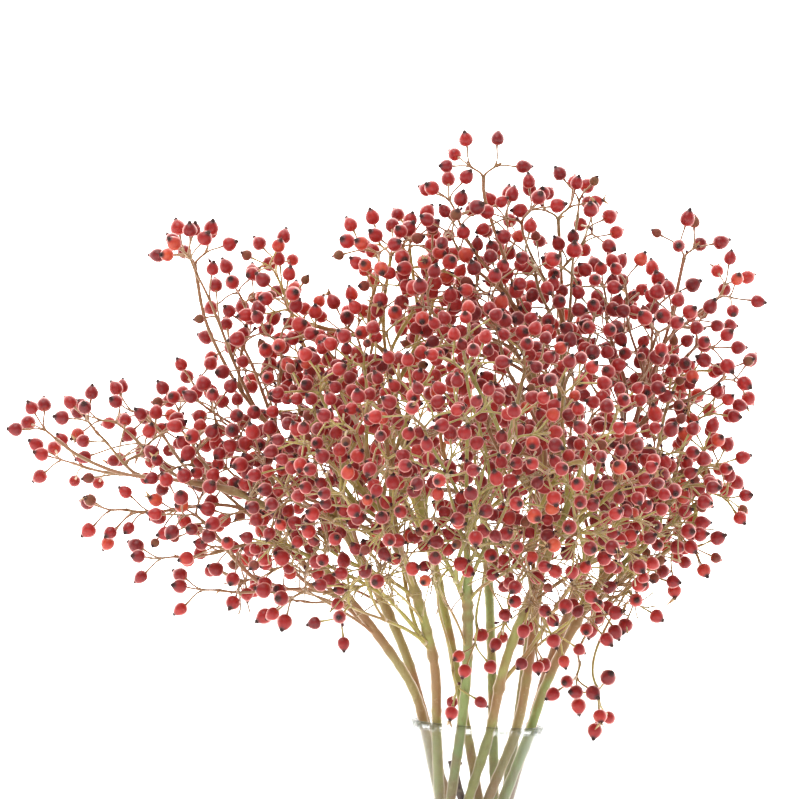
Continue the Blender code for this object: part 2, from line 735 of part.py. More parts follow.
def build_vase():
    """The glass vase, turned from its outline."""
    work = bmesh.new()
    corners = [work.verts.new((radius, 0.0, height)) for radius, height in vase_profile()]
    edges = [work.edges.new(pair) for pair in zip(corners, corners[1:])]
    bmesh.ops.spin(
        work, geom=corners + edges, cent=(0, 0, 0), axis=(0, 0, 1), angle=math.tau, steps=VASE_SIDES,
    )
    bmesh.ops.remove_doubles(work, verts=work.verts, dist=0.00001)
    bmesh.ops.recalc_face_normals(work, faces=work.faces)
    mesh = bpy.data.meshes.new("vase")
    work.to_mesh(mesh)
    work.free()
    mesh.shade_smooth()
    mesh.set_sharp_from_angle(angle=math.radians(40))
    add_object("vase", mesh, [new_material("clear_glass", CLEAR_GLASS, 0.02, 1.0)])


def build_stub():
    """The dark cut-off twig inside the vase, with the stump of a side shoot near its top."""
    foot, rim = cane_ends(STUB_PLACE)
    share = (rim[2] - STUB_TOP_BELOW_RIM - foot[2]) / (rim[2] - foot[2])
    line = foot + np.outer(np.linspace(0, share, STUB_RINGS), rim - foot)
    twig = Branch(points=line, sides=STUB_SIDES, least=STUB_RADIUS)
    top = twig.arcs()[-1]
    joint, along = twig.spot(top - STUMP_BELOW_TOP)
    lean = unit(along + np.array(STUMP_WAY))
    stump = Branch(points=np.vstack((joint, joint + lean * STUMP_LENGTH)), least=STUMP_RADIUS)
    twig.shoots.append((top - STUMP_BELOW_TOP, stump))
    skin = Skin()
    skin.cover(twig)
    add_object("cut_twig", mesh_of("cut_twig", skin), [new_material("dark_wood", DARK_WOOD, 0.7)])


def build_sprigs():
    """The sprigs, each one closed solid of its cane, twigs, stalks and hips."""
    wood = new_material("green_cane", GREEN_CANE, 0.55)
    hip = new_material("red_hip", RED_HIP, 0.3)
    for name, cane in grow_all().items():
        skin = Skin()
        skin.cover(cane)
        add_object(name, mesh_of(name, skin), [wood, hip])


def main():
    """Clear the scene and build the vase, the cut twig and the sprigs."""
    for thing in list(bpy.data.objects):
        bpy.data.objects.remove(thing, do_unlink=True)
    build_vase()
    build_stub()
    build_sprigs()


main()
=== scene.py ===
"""Rose hip sprigs in a waisted glass vase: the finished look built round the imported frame.

Eleven cut sprigs and a cut-off twig stand crossed in a clear vase.  The sprigs grow here by the
same rules as the frame's solids, so every hip, stalk and cane lies where its solid lies, and small
late hips then fill the gaps.  Each sprig is dressed in three pieces: its stems, its hips, and its
dried bits (calyx crowns, sepals, bracts and unopened buds).  Lengths are metres, +Z is up and the
front of the bunch faces -Y.
"""

import logging
import math
import random
from dataclasses import dataclass, field
from enum import Enum

import bpy
import numpy as np
from mathutils import Matrix, Vector


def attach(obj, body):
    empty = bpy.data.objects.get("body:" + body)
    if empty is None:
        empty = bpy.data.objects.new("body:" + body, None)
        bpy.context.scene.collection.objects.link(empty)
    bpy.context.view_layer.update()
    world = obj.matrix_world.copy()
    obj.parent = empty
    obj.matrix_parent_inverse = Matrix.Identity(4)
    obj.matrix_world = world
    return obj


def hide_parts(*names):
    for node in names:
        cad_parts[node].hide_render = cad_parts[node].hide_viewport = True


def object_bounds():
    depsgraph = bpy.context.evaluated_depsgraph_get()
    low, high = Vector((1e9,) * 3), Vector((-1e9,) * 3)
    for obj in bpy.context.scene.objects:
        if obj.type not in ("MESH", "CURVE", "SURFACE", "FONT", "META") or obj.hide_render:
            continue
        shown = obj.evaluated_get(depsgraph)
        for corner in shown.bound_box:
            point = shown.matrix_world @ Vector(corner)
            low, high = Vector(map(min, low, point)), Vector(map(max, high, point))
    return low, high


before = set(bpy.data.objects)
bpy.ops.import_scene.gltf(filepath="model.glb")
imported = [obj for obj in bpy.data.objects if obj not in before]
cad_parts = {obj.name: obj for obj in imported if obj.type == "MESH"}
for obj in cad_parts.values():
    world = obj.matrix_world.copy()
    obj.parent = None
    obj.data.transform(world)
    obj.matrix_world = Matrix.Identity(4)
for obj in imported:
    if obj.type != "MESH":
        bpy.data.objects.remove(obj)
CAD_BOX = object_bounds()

LOG = logging.getLogger("rose_hips")
MM = 0.001
LOWEST, HIGHEST = (np.array(corner) for corner in CAD_BOX)

Array = np.ndarray
Triple = tuple[float, float, float]
Colour = Triple
Pair = tuple[float, float]
Span = Pair
Stops = tuple[tuple[float, Colour], ...]


# Sizes that the frame's solids were grown with, and those of the late hips -------------------

# The vase.
VASE_HEIGHT = 150.0 * MM
FLOOR_THICKNESS = 10.0 * MM
WALL = 2.2 * MM
FOOT_RADIUS = 43.0 * MM
FOOT_EDGE = 3.0 * MM
FOOT_BEVEL = 1.0 * MM
FOOT_FLARE_HEIGHT = 30.0 * MM

# The canes, which cross in the vase and stand in a ring at its rim.
CANE_RING_RADIUS = 27.8 * MM
CANE_TURN = math.radians(-120)
FIRST_CANE_ANGLE = math.radians(12)
CANE_PLACES = 12
CANE_FOOT_GAP = 1.6 * MM
CANE_TO_GLASS = 3.2 * MM
CANE_STRAIGHT_BELOW_RIM = 30.0 * MM

# The cut twig, and the stump of its side shoot.
STUB_PLACE = 4
STUB_TOP_BELOW_RIM = 21.0 * MM
STUB_RADIUS = 2.2 * MM
STUMP_BELOW_TOP = 4.0 * MM
STUMP_WAY = (1.6, 0.0, 0.3)
STUMP_LENGTH = 5.5 * MM
STUMP_RADIUS = 1.3 * MM

# How thick branches are, and the steps along a cane.
STALK_RADIUS = 0.45 * MM
CANE_RADIUS = 2.5 * MM
TWIG_RADIUS = 1.15 * MM
GROUP_STALK_RADIUS = 0.65 * MM
CANE_STEP = 18.0 * MM
FINE_STEP = 3.0 * MM
STRAIGHT_POINTS = 30

# The arch of a twig, which leads away from the heart of the bunch.
TWIG_SHARES = (0.0, 0.25, 0.6, 1.0)
ARCH_LEADS = (0.36, 0.34)
LEAD_TURN = 1.1
ARRIVAL_TURN = 0.9
HEART = (-8.0, 20.0, 20.0)

# Where a twig leaves, and what makes a place poor.
NODE_SPACING = 7.0 * MM
FIRST_NODE_ABOVE_RIM = 14.0 * MM
FIRST_NODE_ON_TWIG = 9.0 * MM
LAST_NODE_BEFORE_END = 4.0 * MM
NODES_TRIED = 40
WIDE_FORK = math.radians(55)
NARROW_FORK = math.radians(22)
WIDE_FORK_COST = 1.6
NARROW_FORK_COST = 1.2
CLOSE_NODE = 5.0 * MM
CLOSE_NODE_COST = 40.0 * MM
TWIG_LENGTH = 55.0 * MM

# A crown: groups of hips on shared stalks.
HIP_RADIUS = 3.75 * MM
HIP_RADIUS_SPREAD = 0.12
HIP_RING_SHARE = 1.15
HIPS_PER_GROUP = 2.8
GROUP_STALK = 8.0 * MM
HIP_STALK = 11.0 * MM
HIP_CORE = (0.9, 1.25)
GROUP_LEAN = math.radians(50)
HIP_LEAN = math.radians(42)
CROWN_DEPTH = 12.0 * MM

# The search for clear room.
GAP = 0.45 * MM
SHOOTS_TRIED = 30
FIRST_LOOSENESS = 0.08
MORE_LOOSENESS = 0.03
LENGTH_LOOSENESS = 0.55
TWIG_CLEAR_FROM = 0.3
SHOOT_CLEAR_FROM = 0.4
LEAST_SQUARE = 1e-12
LEAST_SPREAD = 1e-15
SEED = 14

# The late hips along the twigs, which the frame's solids don't have.
LATE_HIPS = 7
LATE_REACH = 285.0 * MM
LATE_FADE = 150.0 * MM
LATE_ABOVE = 75.0 * MM
LATE_FRONT = -80.0 * MM
LATE_FROM = 0.3
LATE_LEAN = math.radians(55)
LATE_STALK = (8.0 * MM, 22.0 * MM)
LATE_SIZE = (0.82, 1.0)


# Shader maths --------------------------------------------------------------------------------


def srgb(*levels: int) -> Colour:
    """The linear colour of screen levels.

    Args:
        levels: Red, green and blue, from 0 to 255.

    Returns:
        The colour, from 0 to 1.
    """
    shares = np.array(levels) / 255.0
    linear = np.where(shares <= 0.04045, shares / 12.92, ((shares + 0.055) / 1.055) ** 2.4)
    return tuple(float(share) for share in linear)


class Wire:
    """A socket of a shader, on which arithmetic adds Math nodes."""

    def __init__(self, graph: "Graph", socket: bpy.types.NodeSocket) -> None:
        """Wraps an output socket of a graph."""
        self.graph = graph
        self.socket = socket

    def _math(self, operation: str, first: "Wire | float", second: "Wire | float") -> "Wire":
        """The result of a Math node."""
        return self.graph.node("ShaderNodeMath", {"operation": operation}, {0: first, 1: second})

    def __add__(self, other: "Wire | float") -> "Wire":
        """Sum."""
        return self._math("ADD", self, other)

    def __radd__(self, other: float) -> "Wire":
        """Sum, with a number on the left."""
        return self._math("ADD", other, self)

    def __sub__(self, other: "Wire | float") -> "Wire":
        """Difference."""
        return self._math("SUBTRACT", self, other)

    def __rsub__(self, other: float) -> "Wire":
        """Difference, from a number on the left."""
        return self._math("SUBTRACT", other, self)

    def __mul__(self, other: "Wire | float") -> "Wire":
        """Product."""
        return self._math("MULTIPLY", self, other)

    def __rmul__(self, other: float) -> "Wire":
        """Product, with a number on the left."""
        return self._math("MULTIPLY", other, self)

    def __pow__(self, other: "Wire | float") -> "Wire":
        """Power."""
        return self._math("POWER", self, other)


class Graph:
    """A tree of shader nodes, written as expressions on wires."""

    def __init__(self, tree: bpy.types.NodeTree) -> None:
        """Takes over a tree."""
        self.tree = tree

    def feed(self, socket: bpy.types.NodeSocket, value: "Wire | float | Colour") -> None:
        """Links a wire to a socket, or sets a number or a colour on it.

        Args:
            socket: The input socket.
            value: The wire, the number, or the colour, which is solid on a socket with an alpha.
        """
        if isinstance(value, Wire):
            self.tree.links.new(value.socket, socket)
        elif isinstance(value, tuple) and len(socket.default_value) == len(value) + 1:
            socket.default_value = (*value, 1.0)
        else:
            socket.default_value = value

    def node(
        self,
        kind: str,
        settings: dict[str, object] | None = None,
        inputs: dict[int | str, object] | None = None,
        output: int | str = 0,
    ) -> Wire:
        """Adds a node.

        Args:
            kind: The node's type.
            settings: What is set on the node first; "stops" are a ramp's positions and colours.
            inputs: Values or wires, by the number or name of the socket.
            output: The output that is wanted.

        Returns:
            The wire of that output.
        """
        made = self.tree.nodes.new(kind)
        for key, value in (settings or {}).items():
            if key == "stops":
                self._set_stops(made.color_ramp, value)
            else:
                setattr(made, key, value)
        for key, value in (inputs or {}).items():
            self.feed(made.inputs[key], value)
        return Wire(self, made.outputs[output])

    def _set_stops(self, ramp: bpy.types.ColorRamp, stops: Stops) -> None:
        """Gives a ramp its stops.

        Args:
            ramp: The ramp, which has two stops already.
            stops: The position and the colour of each.
        """
        while len(ramp.elements) < len(stops):
            ramp.elements.new(0.5)
        for element, (position, colour) in zip(ramp.elements, stops):
            element.position = position
            element.color = (*colour, 1.0)

    def ease(self, value: Wire, span: Span, results: Pair = (0.0, 1.0)) -> Wire:
        """A smooth step between two numbers.

        Args:
            value: What decides.
            span: The values between which the step happens.
            results: The numbers before the step and after it.

        Returns:
            The number.
        """
        inputs = {"Value": value, "From Min": span[0], "From Max": span[1]}
        inputs |= {"To Min": results[0], "To Max": results[1]}
        return self.node("ShaderNodeMapRange", {"interpolation_type": "SMOOTHSTEP"}, inputs)


@dataclass(frozen=True)
class Patch:
    """A colour that lies over another: how strongly, and between which values it comes in."""

    colour: Colour
    strength: float
    span: Span


class Shader(Graph):
    """A material on a Principled shader."""

    def __init__(self, name: str) -> None:
        """Starts a material.

        Args:
            name: The material's name.
        """
        self.material = bpy.data.materials.new(name)
        self.material.use_nodes = True
        super().__init__(self.material.node_tree)
        self.surface = self.tree.nodes["Principled BSDF"]

    def attribute(self, name: str) -> Wire:
        """The piece's own value of that name."""
        return self.node("ShaderNodeAttribute", {"attribute_name": name}, output="Fac")

    def noise(self, scale: float, detail: float = 2.0, stretch: Triple = (1.0, 1.0, 1.0)) -> Wire:
        """Soft random mottling from 0 to 1.

        Args:
            scale: Blotches per metre.
            detail: Octaves of finer blotches.
            stretch: Factor on each Object axis before the pattern is read.

        Returns:
            The mottling.
        """
        place = self.node("ShaderNodeTexCoord", output="Object")
        place = self.node("ShaderNodeMapping", inputs={"Vector": place, "Scale": stretch})
        inputs = {"Vector": place, "Scale": scale, "Detail": detail}
        return self.node("ShaderNodeTexNoise", inputs=inputs)

    def aslant(self) -> Wire:
        """0 where the surface faces the eye, 1 where it turns away."""
        return self.node("ShaderNodeLayerWeight", inputs={"Blend": 0.5}, output="Facing")

    def mix(self, share: Wire, first: "Wire | Colour", second: "Wire | Colour") -> Wire:
        """A blend from the first colour to the second."""
        inputs = {0: share, 6: first, 7: second}
        return self.node("ShaderNodeMix", {"data_type": "RGBA"}, inputs, output=2)

    def patched(self, under: "Wire | Colour", value: Wire, patch: Patch) -> Wire:
        """A colour with a patch over it, where a value says."""
        return self.mix(patch.strength * self.ease(value, patch.span), under, patch.colour)

    def ramp(self, value: Wire, stops: Stops) -> Wire:
        """The colour of a value on a ramp."""
        return self.node("ShaderNodeValToRGB", {"stops": stops}, {"Fac": value}, output="Color")

    def bump(self, height: Wire, distance: float, strength: float) -> None:
        """Raises the surface by a height, as light sees it."""
        inputs = {"Height": height, "Distance": distance, "Strength": strength}
        self.feed(self.surface.inputs["Normal"], self.node("ShaderNodeBump", inputs=inputs))

    def set(self, **values: object) -> None:
        """Sets sockets of the surface, named with underscores for spaces."""
        for name, value in values.items():
            self.feed(self.surface.inputs[name.replace("_", " ")], value)

    def cover(self, share: Wire, **values: object) -> None:
        """Shows a second surface in place of the first, by a share.

        Args:
            share: How much of the second is seen, from 0 to 1.
            values: What is set on the second, named with underscores for spaces.
        """
        inputs = {name.replace("_", " "): value for name, value in values.items()}
        second = self.node("ShaderNodeBsdfPrincipled", inputs=inputs)
        first = Wire(self, self.surface.outputs[0])
        both = self.node("ShaderNodeMixShader", inputs={0: share, 1: first, 2: second})
        self.feed(self.tree.nodes["Material Output"].inputs["Surface"], both)

    def with_sheen_and_painted_rim(
        self, sheen: Pair, bloom: Colour, rim: Patch, roughness: float
    ) -> bpy.types.Material:
        """Gives the surface a sheen, and a painted pale rim highlight where it is seen aslant.

        Args:
            sheen: The weight and the roughness of the sheen.
            bloom: The sheen's colour.
            rim: The painted rim highlight, by how far the surface turns away.
            roughness: The painted rim highlight's roughness.

        Returns:
            The material.
        """
        self.set(Sheen_Weight=sheen[0], Sheen_Roughness=sheen[1], Sheen_Tint=bloom)
        # Painted rim highlight: a pale surface shown where this one is seen aslant, for the light
        # from behind.
        share = rim.strength * self.ease(self.aslant(), rim.span)
        self.cover(share, Base_Color=rim.colour, Roughness=roughness)
        return self.material


# Finishes ------------------------------------------------------------------------------------
# A scale is in blotches per metre, a depth or relief in metres, and a span is on the value that
# the finish reads there.


@dataclass(frozen=True)
class HipFinish:
    """Waxy red skin: each hip has its own ripeness, and a dark scar round its calyx.

    It has a pale sheen, and a painted pale rim highlight hides the skin where it is seen aslant.
    """

    orange: Colour = srgb(212, 88, 52)
    ripening: Stops = (
        (0.0, srgb(118, 76, 42)),
        (0.18, srgb(128, 52, 34)),
        (0.34, srgb(118, 14, 20)),
        (0.6, srgb(156, 22, 24)),
        (0.84, srgb(186, 42, 34)),
        (1.0, orange),
    )
    neck: Patch = Patch(orange, 0.3, (0.3, 0.0))
    scar: Patch = Patch(srgb(52, 20, 24), 0.86, (0.79, 0.99))
    speckle: Patch = Patch(orange, 0.18, (0.62, 0.72))
    bloom: Colour = (1.0, 0.72, 0.68)
    # Painted rim highlight: pale pink where the skin is seen aslant, for the light from behind.
    rim: Patch = Patch(srgb(240, 165, 155), 0.9, (0.4, 0.8))
    dry_span: Span = (0.3, 0.1)
    mottle_scale: float = 260.0
    speckle_scale: float = 1500.0
    wrinkle_scale: float = 700.0
    wrinkle_depth: float = 0.25 * MM
    wrinkle_strength: float = 0.35
    least_wrinkles: float = 0.25
    mottling: float = 0.3
    ragged_scar: float = 0.1
    flesh: Triple = (1.0, 0.25, 0.2)
    flesh_depth: float = 1.2 * MM
    flesh_share: float = 0.12
    sheen: Pair = (0.5, 0.42)
    roughness: float = 0.36
    dry_roughness: float = 0.3
    mottled_roughness: float = 0.12
    painted_rim_roughness: float = 0.6

    def material(self) -> bpy.types.Material:
        """Builds the shader.

        Returns:
            The hips' material.
        """
        shader = Shader("red_hip")
        ripeness = shader.attribute("ripeness")
        reach = shader.attribute("reach")
        mottle = shader.noise(self.mottle_scale, 3.0) - 0.5
        skin = shader.ramp(ripeness + self.mottling * mottle, self.ripening)
        skin = shader.patched(skin, reach, self.neck)
        skin = shader.patched(skin, reach + self.ragged_scar * mottle, self.scar)
        skin = shader.patched(skin, shader.noise(self.speckle_scale, 1.0), self.speckle)
        dryness = shader.ease(ripeness, self.dry_span)
        roughness = self.roughness + self.dry_roughness * dryness
        shader.set(Base_Color=skin, Roughness=roughness + self.mottled_roughness * mottle)
        wrinkles = shader.noise(self.wrinkle_scale) * (self.least_wrinkles + dryness)
        shader.bump(wrinkles, self.wrinkle_depth, self.wrinkle_strength)
        shader.set(Subsurface_Weight=self.flesh_share, Subsurface_Radius=self.flesh)
        shader.set(Subsurface_Scale=self.flesh_depth)
        return shader.with_sheen_and_painted_rim(self.sheen, self.bloom, self.rim, self.painted_rim_roughness)


@dataclass(frozen=True)
class StemFinish:
    """Satin bark, whose colour follows the thickness from cane to stalk."""

    name: str
    cane: Colour
    twig: Colour
    stalk: Colour
    twig_girth: Span = (0.55, 1.05)
    cane_girth: Span = (1.1, 2.1)
    blush: Patch = Patch(srgb(158, 106, 74), 0.75, (0.46, 0.62))
    streak: Patch = Patch(srgb(132, 104, 58), 0.35, (0.5, 0.75))
    knot_strength: float = 0.55
    speck: Patch = Patch(srgb(214, 196, 150), 0.16, (0.6, 0.7))
    bloom: Colour = (1.0, 0.98, 0.78)
    # Painted rim highlight: pale straw where the bark is seen aslant, for the light from behind.
    rim: Patch = Patch(srgb(238, 212, 186), 0.6, (0.3, 0.8))
    blush_scale: float = 30.0
    streak_scale: float = 900.0
    streak_stretch: Triple = (1.0, 1.0, 0.12)
    speck_scale: float = 520.0
    relief: float = 0.2 * MM
    relief_strength: float = 0.4
    speck_relief: float = 0.5
    sheen: Pair = (0.7, 0.4)
    roughness: float = 0.5
    streak_roughness: float = 0.2
    painted_rim_roughness: float = 0.7

    def material(self) -> bpy.types.Material:
        """Builds the shader.

        Returns:
            The stems' material.
        """
        shader = Shader(self.name)
        girth = shader.attribute("girth")
        bark = shader.mix(shader.ease(girth, self.twig_girth), self.stalk, self.twig)
        bark = shader.mix(shader.ease(girth, self.cane_girth), bark, self.cane)
        bark = shader.patched(bark, shader.noise(self.blush_scale, 3.0), self.blush)
        streaks = shader.noise(self.streak_scale, stretch=self.streak_stretch)
        bark = shader.patched(bark, streaks, self.streak)
        knots = self.knot_strength * shader.attribute("knot")
        bark = shader.mix(knots, bark, self.streak.colour)
        specks = shader.noise(self.speck_scale)
        bark = shader.patched(bark, specks, self.speck)
        roughness = self.roughness + self.streak_roughness * (streaks - 0.5)
        shader.set(Base_Color=bark, Roughness=roughness)
        height = streaks + self.speck_relief * shader.ease(specks, self.speck.span)
        shader.bump(height, self.relief, self.relief_strength)
        return shader.with_sheen_and_painted_rim(self.sheen, self.bloom, self.rim, self.painted_rim_roughness)


@dataclass(frozen=True)
class DriedFinish:
    """Dry, matt remains: near black in the calyx crowns, plum in the buds, straw in the bracts."""

    fading: Stops = (
        (0.0, srgb(52, 30, 28)),
        (0.25, srgb(96, 58, 44)),
        (0.5, srgb(84, 28, 36)),
        (0.75, srgb(150, 108, 70)),
        (1.0, srgb(214, 180, 132)),
    )
    mottle_scale: float = 1300.0
    mottling: float = 0.22
    fibre_scale: float = 2600.0
    relief: float = 0.2 * MM
    relief_strength: float = 0.6
    roughness: float = 0.7
    fibre_roughness: float = 0.2

    def material(self) -> bpy.types.Material:
        """Builds the shader.

        Returns:
            The dried bits' material.
        """
        shader = Shader("dried_brown")
        mottle = shader.noise(self.mottle_scale, 3.0) - 0.5
        colour = shader.ramp(shader.attribute("fade") + self.mottling * mottle, self.fading)
        fibre = shader.noise(self.fibre_scale)
        roughness = self.roughness + self.fibre_roughness * (fibre - 0.5)
        shader.set(Base_Color=colour, Roughness=roughness)
        shader.bump(fibre, self.relief, self.relief_strength)
        return shader.material


@dataclass(frozen=True)
class DarkWoodFinish:
    """Grey-brown old bark with lengthwise cracks, and a pale cut."""

    bark: Colour = srgb(104, 84, 74)
    crack: Colour = srgb(54, 42, 38)
    crack_span: Span = (0.52, 0.66)
    lichen: Patch = Patch(srgb(150, 134, 118), 0.5, (0.58, 0.7))
    cut: Colour = srgb(176, 148, 112)
    crack_scale: float = 700.0
    crack_stretch: Triple = (1.0, 1.0, 0.15)
    lichen_scale: float = 300.0
    grain_scale: float = 1600.0
    crack_depth: float = 0.4 * MM
    crack_strength: float = 0.7
    cut_shares: Pair = (0.7, 0.3)
    roughness: float = 0.75
    grain_roughness: float = 0.2

    def material(self) -> bpy.types.Material:
        """Builds the shader.

        Returns:
            The cut twig's material.
        """
        shader = Shader("dark_wood")
        cracks = shader.noise(self.crack_scale, 3.0, self.crack_stretch)
        cracks = shader.ease(cracks, self.crack_span)
        colour = shader.mix(cracks, self.bark, self.crack)
        colour = shader.patched(colour, shader.noise(self.lichen_scale), self.lichen)
        grain = shader.noise(self.grain_scale)
        pale = self.cut_shares[0] + self.cut_shares[1] * grain
        colour = shader.mix(shader.attribute("cut") * pale, colour, self.cut)
        roughness = self.roughness + self.grain_roughness * (grain - 0.5)
        shader.set(Base_Color=colour, Roughness=roughness)
        shader.bump(1.0 - cracks, self.crack_depth, self.crack_strength)
        return shader.material


@dataclass(frozen=True)
class GlassFinish:
    """Clear polished glass with a trace of green, and faint water marks.

    The upper wall darkens where it is seen aslant: partly the green of the thicker glass seen
    there, partly painted shade for the dark refraction at its edges.  The lip lets light pass
    straight, and shows as a line with bright edges; where it is seen aslant it is painted dark
    grey, a painted shade for the refraction at the rim.
    """

    tint: Colour = (0.96, 0.985, 0.97)
    # Painted shade with a trace of real green: the upper wall's colour where it is seen aslant.
    edge: Colour = (0.2, 0.25, 0.22)
    painted_edge_span: Span = (0.45, 0.9)
    mark_scale: float = 90.0
    mark_span: Span = (0.6, 0.8)
    wave_scale: float = 14.0
    wave_depth: float = 1.5 * MM
    wave_strength: float = 0.12
    refraction: float = 1.28
    roughness: float = 0.01
    mark_roughness: float = 0.05
    # Painted shade at the lip: this dark grey shows where the lip is seen aslant, for the
    # refraction there.
    lip: Colour = (0.16, 0.18, 0.13)
    lip_shares: Pair = (0.08, 0.9)
    lip_sharpness: float = 1.5
    lip_roughness: float = 0.3
    lip_gloss: float = 0.05

    def material(self) -> bpy.types.Material:
        """Builds the shader.

        Returns:
            The vase's material.
        """
        shader = Shader("clear_glass")
        # Painted shade: the upper wall turns to the dark edge colour where it is seen aslant.
        outline = shader.attribute("wall") * shader.ease(shader.aslant(), self.painted_edge_span)
        wall = shader.mix(outline, self.tint, self.edge)
        shader.set(Base_Color=wall, Transmission_Weight=1.0, IOR=self.refraction)
        marks = shader.ease(shader.noise(self.mark_scale, 4.0), self.mark_span)
        shader.set(Roughness=self.roughness + self.mark_roughness * marks)
        shader.bump(shader.noise(self.wave_scale, 1.0), self.wave_depth, self.wave_strength)
        # The lip band: nearly clear where it faces the eye, painted dark grey where it is seen
        # aslant.
        shader.cover(
            shader.attribute("lip"),
            Base_Color=self.lip,
            Roughness=self.lip_roughness,
            Specular_IOR_Level=self.lip_gloss,
            Alpha=self.lip_shares[0] + self.lip_shares[1] * shader.aslant() ** self.lip_sharpness,
        )
        return shader.material


@dataclass(frozen=True)
class FloorFinish:
    """Matt white table top."""

    white: Colour = (0.9, 0.9, 0.9)
    grey: Colour = (0.86, 0.86, 0.86)
    scale: float = 3.0
    roughness: float = 0.8

    def material(self) -> bpy.types.Material:
        """Builds the shader.

        Returns:
            The floor's material.
        """
        shader = Shader("white_floor")
        shader.set(Base_Color=shader.mix(shader.noise(self.scale), self.white, self.grey))
        shader.set(Roughness=self.roughness)
        return shader.material


class Bark(Enum):
    """The stems' finishes, named by the look of the cane."""

    GREEN = StemFinish("green_stems", srgb(142, 158, 92), srgb(168, 166, 88), srgb(182, 172, 98))
    OLIVE = StemFinish("olive_stems", srgb(156, 154, 82), srgb(178, 168, 86), srgb(192, 176, 100))
    BROWN = StemFinish("brown_stems", srgb(158, 142, 88), srgb(158, 118, 82), srgb(172, 140, 100))
    RUSSET = StemFinish("russet_stems", srgb(156, 120, 90), srgb(150, 96, 74), srgb(168, 136, 106))
    DRAB = StemFinish("drab_stems", srgb(140, 140, 84), srgb(146, 126, 84), srgb(164, 146, 104))


# Surfaces as whole arrays --------------------------------------------------------------------


UP = np.array((0.0, 0.0, 1.0))
ACROSS = np.array((1.0, 0.0, 0.0))
STEEP = 0.8
NEARLY_UPRIGHT = 0.9
LOBES = 5
LOBE_RISE = 0.3


def unit(vectors: Array) -> Array:
    """The vectors at length 1."""
    return vectors / np.linalg.norm(vectors, axis=-1, keepdims=True)


def bell(distance: Array) -> Array:
    """1 at 0, falling smoothly to nothing either way: the exponential of minus the square."""
    return np.exp(-(distance**2))


def frames_along(ways: Array) -> tuple[Array, Array]:
    """Sideways directions for a row of directions.

    One fixed helper, the axis that lies furthest from their sum, gives side as way x helper and up
    as way x side, so side, up and way are right-handed and don't twist along a gentle curve.

    Args:
        ways: Unit directions, one per row.

    Returns:
        The sides and the ups, one per row each.
    """
    helper = np.eye(3)[np.argmin(np.abs(ways.sum(axis=0)))]
    side = unit(np.cross(ways, helper))
    return side, np.cross(ways, side)


def tube_faces(rings: int, sides: int) -> list[Array]:
    """The faces of a tube, all facing out.

    Args:
        rings: How many rings it has.
        sides: Points in a ring.

    Returns:
        The quads between neighbouring rings, and the two end faces.
    """
    low = np.arange((rings - 1) * sides).reshape(rings - 1, sides)
    after = np.roll(low, -1, axis=1)
    quads = np.stack((low, after, after + sides, low + sides), axis=-1).reshape(-1, 4)
    start = np.arange(sides)[::-1][None]
    end = (np.arange(sides) + (rings - 1) * sides)[None]
    return [quads, start, end]


def tube(line: Array, radii: Array, sides: int, flat: float = 1.0) -> tuple[Array, list[Array]]:
    """A closed tube along a line.

    Ring i, point j is line_i + radius_i (cos t_j side_i + flat sin t_j up_i), with t_j spread
    evenly round.

    Args:
        line: The points of the middle line.
        radii: The radius at each of them.
        sides: Points in a ring.
        flat: The tube's thickness as a share of its width.

    Returns:
        The points and the faces.
    """
    side, up = frames_along(unit(np.gradient(line, axis=0)))
    turns = (np.arange(sides) * math.tau / sides)[:, None]
    spokes = np.cos(turns) * side[:, None] + flat * np.sin(turns) * up[:, None]
    points = line[:, None] + radii[:, None, None] * spokes
    return points.reshape(-1, 3), tube_faces(len(line), sides)


def linked(name: str, data: bpy.types.ID) -> bpy.types.Object:
    """Puts a mesh, a lamp or a camera into the scene.

    Args:
        name: The object's name.
        data: What the object shows.

    Returns:
        The object, at the origin.
    """
    made = bpy.data.objects.new(name, data)
    bpy.context.scene.collection.objects.link(made)
    return made


@dataclass
class Form:
    """A small turned shape on +Z, stamped many times: its points, faces and height values."""

    points: Array
    faces: list[Array]
    rises: Array

    @classmethod
    def turned(cls, radii: Array, heights: Array, sides: int, lobes: float = 0.0) -> "Form":
        """A shape turned from an outline that starts and ends anywhere, with flat ends.

        Point j of ring i is at (r cos t_j, r sin t_j, h), with r = radius_i (1 + lobe cos 5 t_j).
        The lobe grows with the fourth power of the radius, and rises a little where it bulges.  A
        radius near 0 at an end closes it to a small face.

        Args:
            radii: The outline's radii.
            heights: The outline's heights.
            sides: Points in a ring.
            lobes: How far the widest ring bulges in five lobes.

        Returns:
            The shape.
        """
        turns = np.arange(sides) * math.tau / sides
        wide = radii[:, None]
        bulge = lobes * (wide / radii.max()) ** 4 * np.cos(LOBES * turns)
        reach = wide * (1 + bulge)
        level = heights[:, None] + LOBE_RISE * bulge * wide
        points = np.stack((reach * np.cos(turns), reach * np.sin(turns), level), axis=-1)
        rises = np.repeat(np.linspace(0, 1, len(radii)), sides)
        return cls(points.reshape(-1, 3), tube_faces(len(radii), sides), rises)

    def stamped(
        self, places: Array, ways: Array, widths: Array, lengths: Array, turns: Array
    ) -> Array:
        """The shape at many places.

        Each point (x, y, z) goes to place + width (x side + y up) + length z way.

        Args:
            places: Where the shape's own origin goes.
            ways: Where its +Z points.
            widths: Factor on its width.
            lengths: Factor on its length.
            turns: Its turn round its own axis.

        Returns:
            The points, one row of points per place.
        """
        helper = np.where(np.abs(ways[:, 2:]) < STEEP, UP, ACROSS)
        side = unit(np.cross(helper, ways))
        up = np.cross(ways, side)
        turned_side = np.cos(turns)[:, None] * side + np.sin(turns)[:, None] * up
        turned_up = np.cross(ways, turned_side)
        x, y, z = (self.points[None, :, axis, None] for axis in range(3))
        across = x * turned_side[:, None] + y * turned_up[:, None]
        along = lengths[:, None, None] * z * ways[:, None]
        return places[:, None] + widths[:, None, None] * across + along


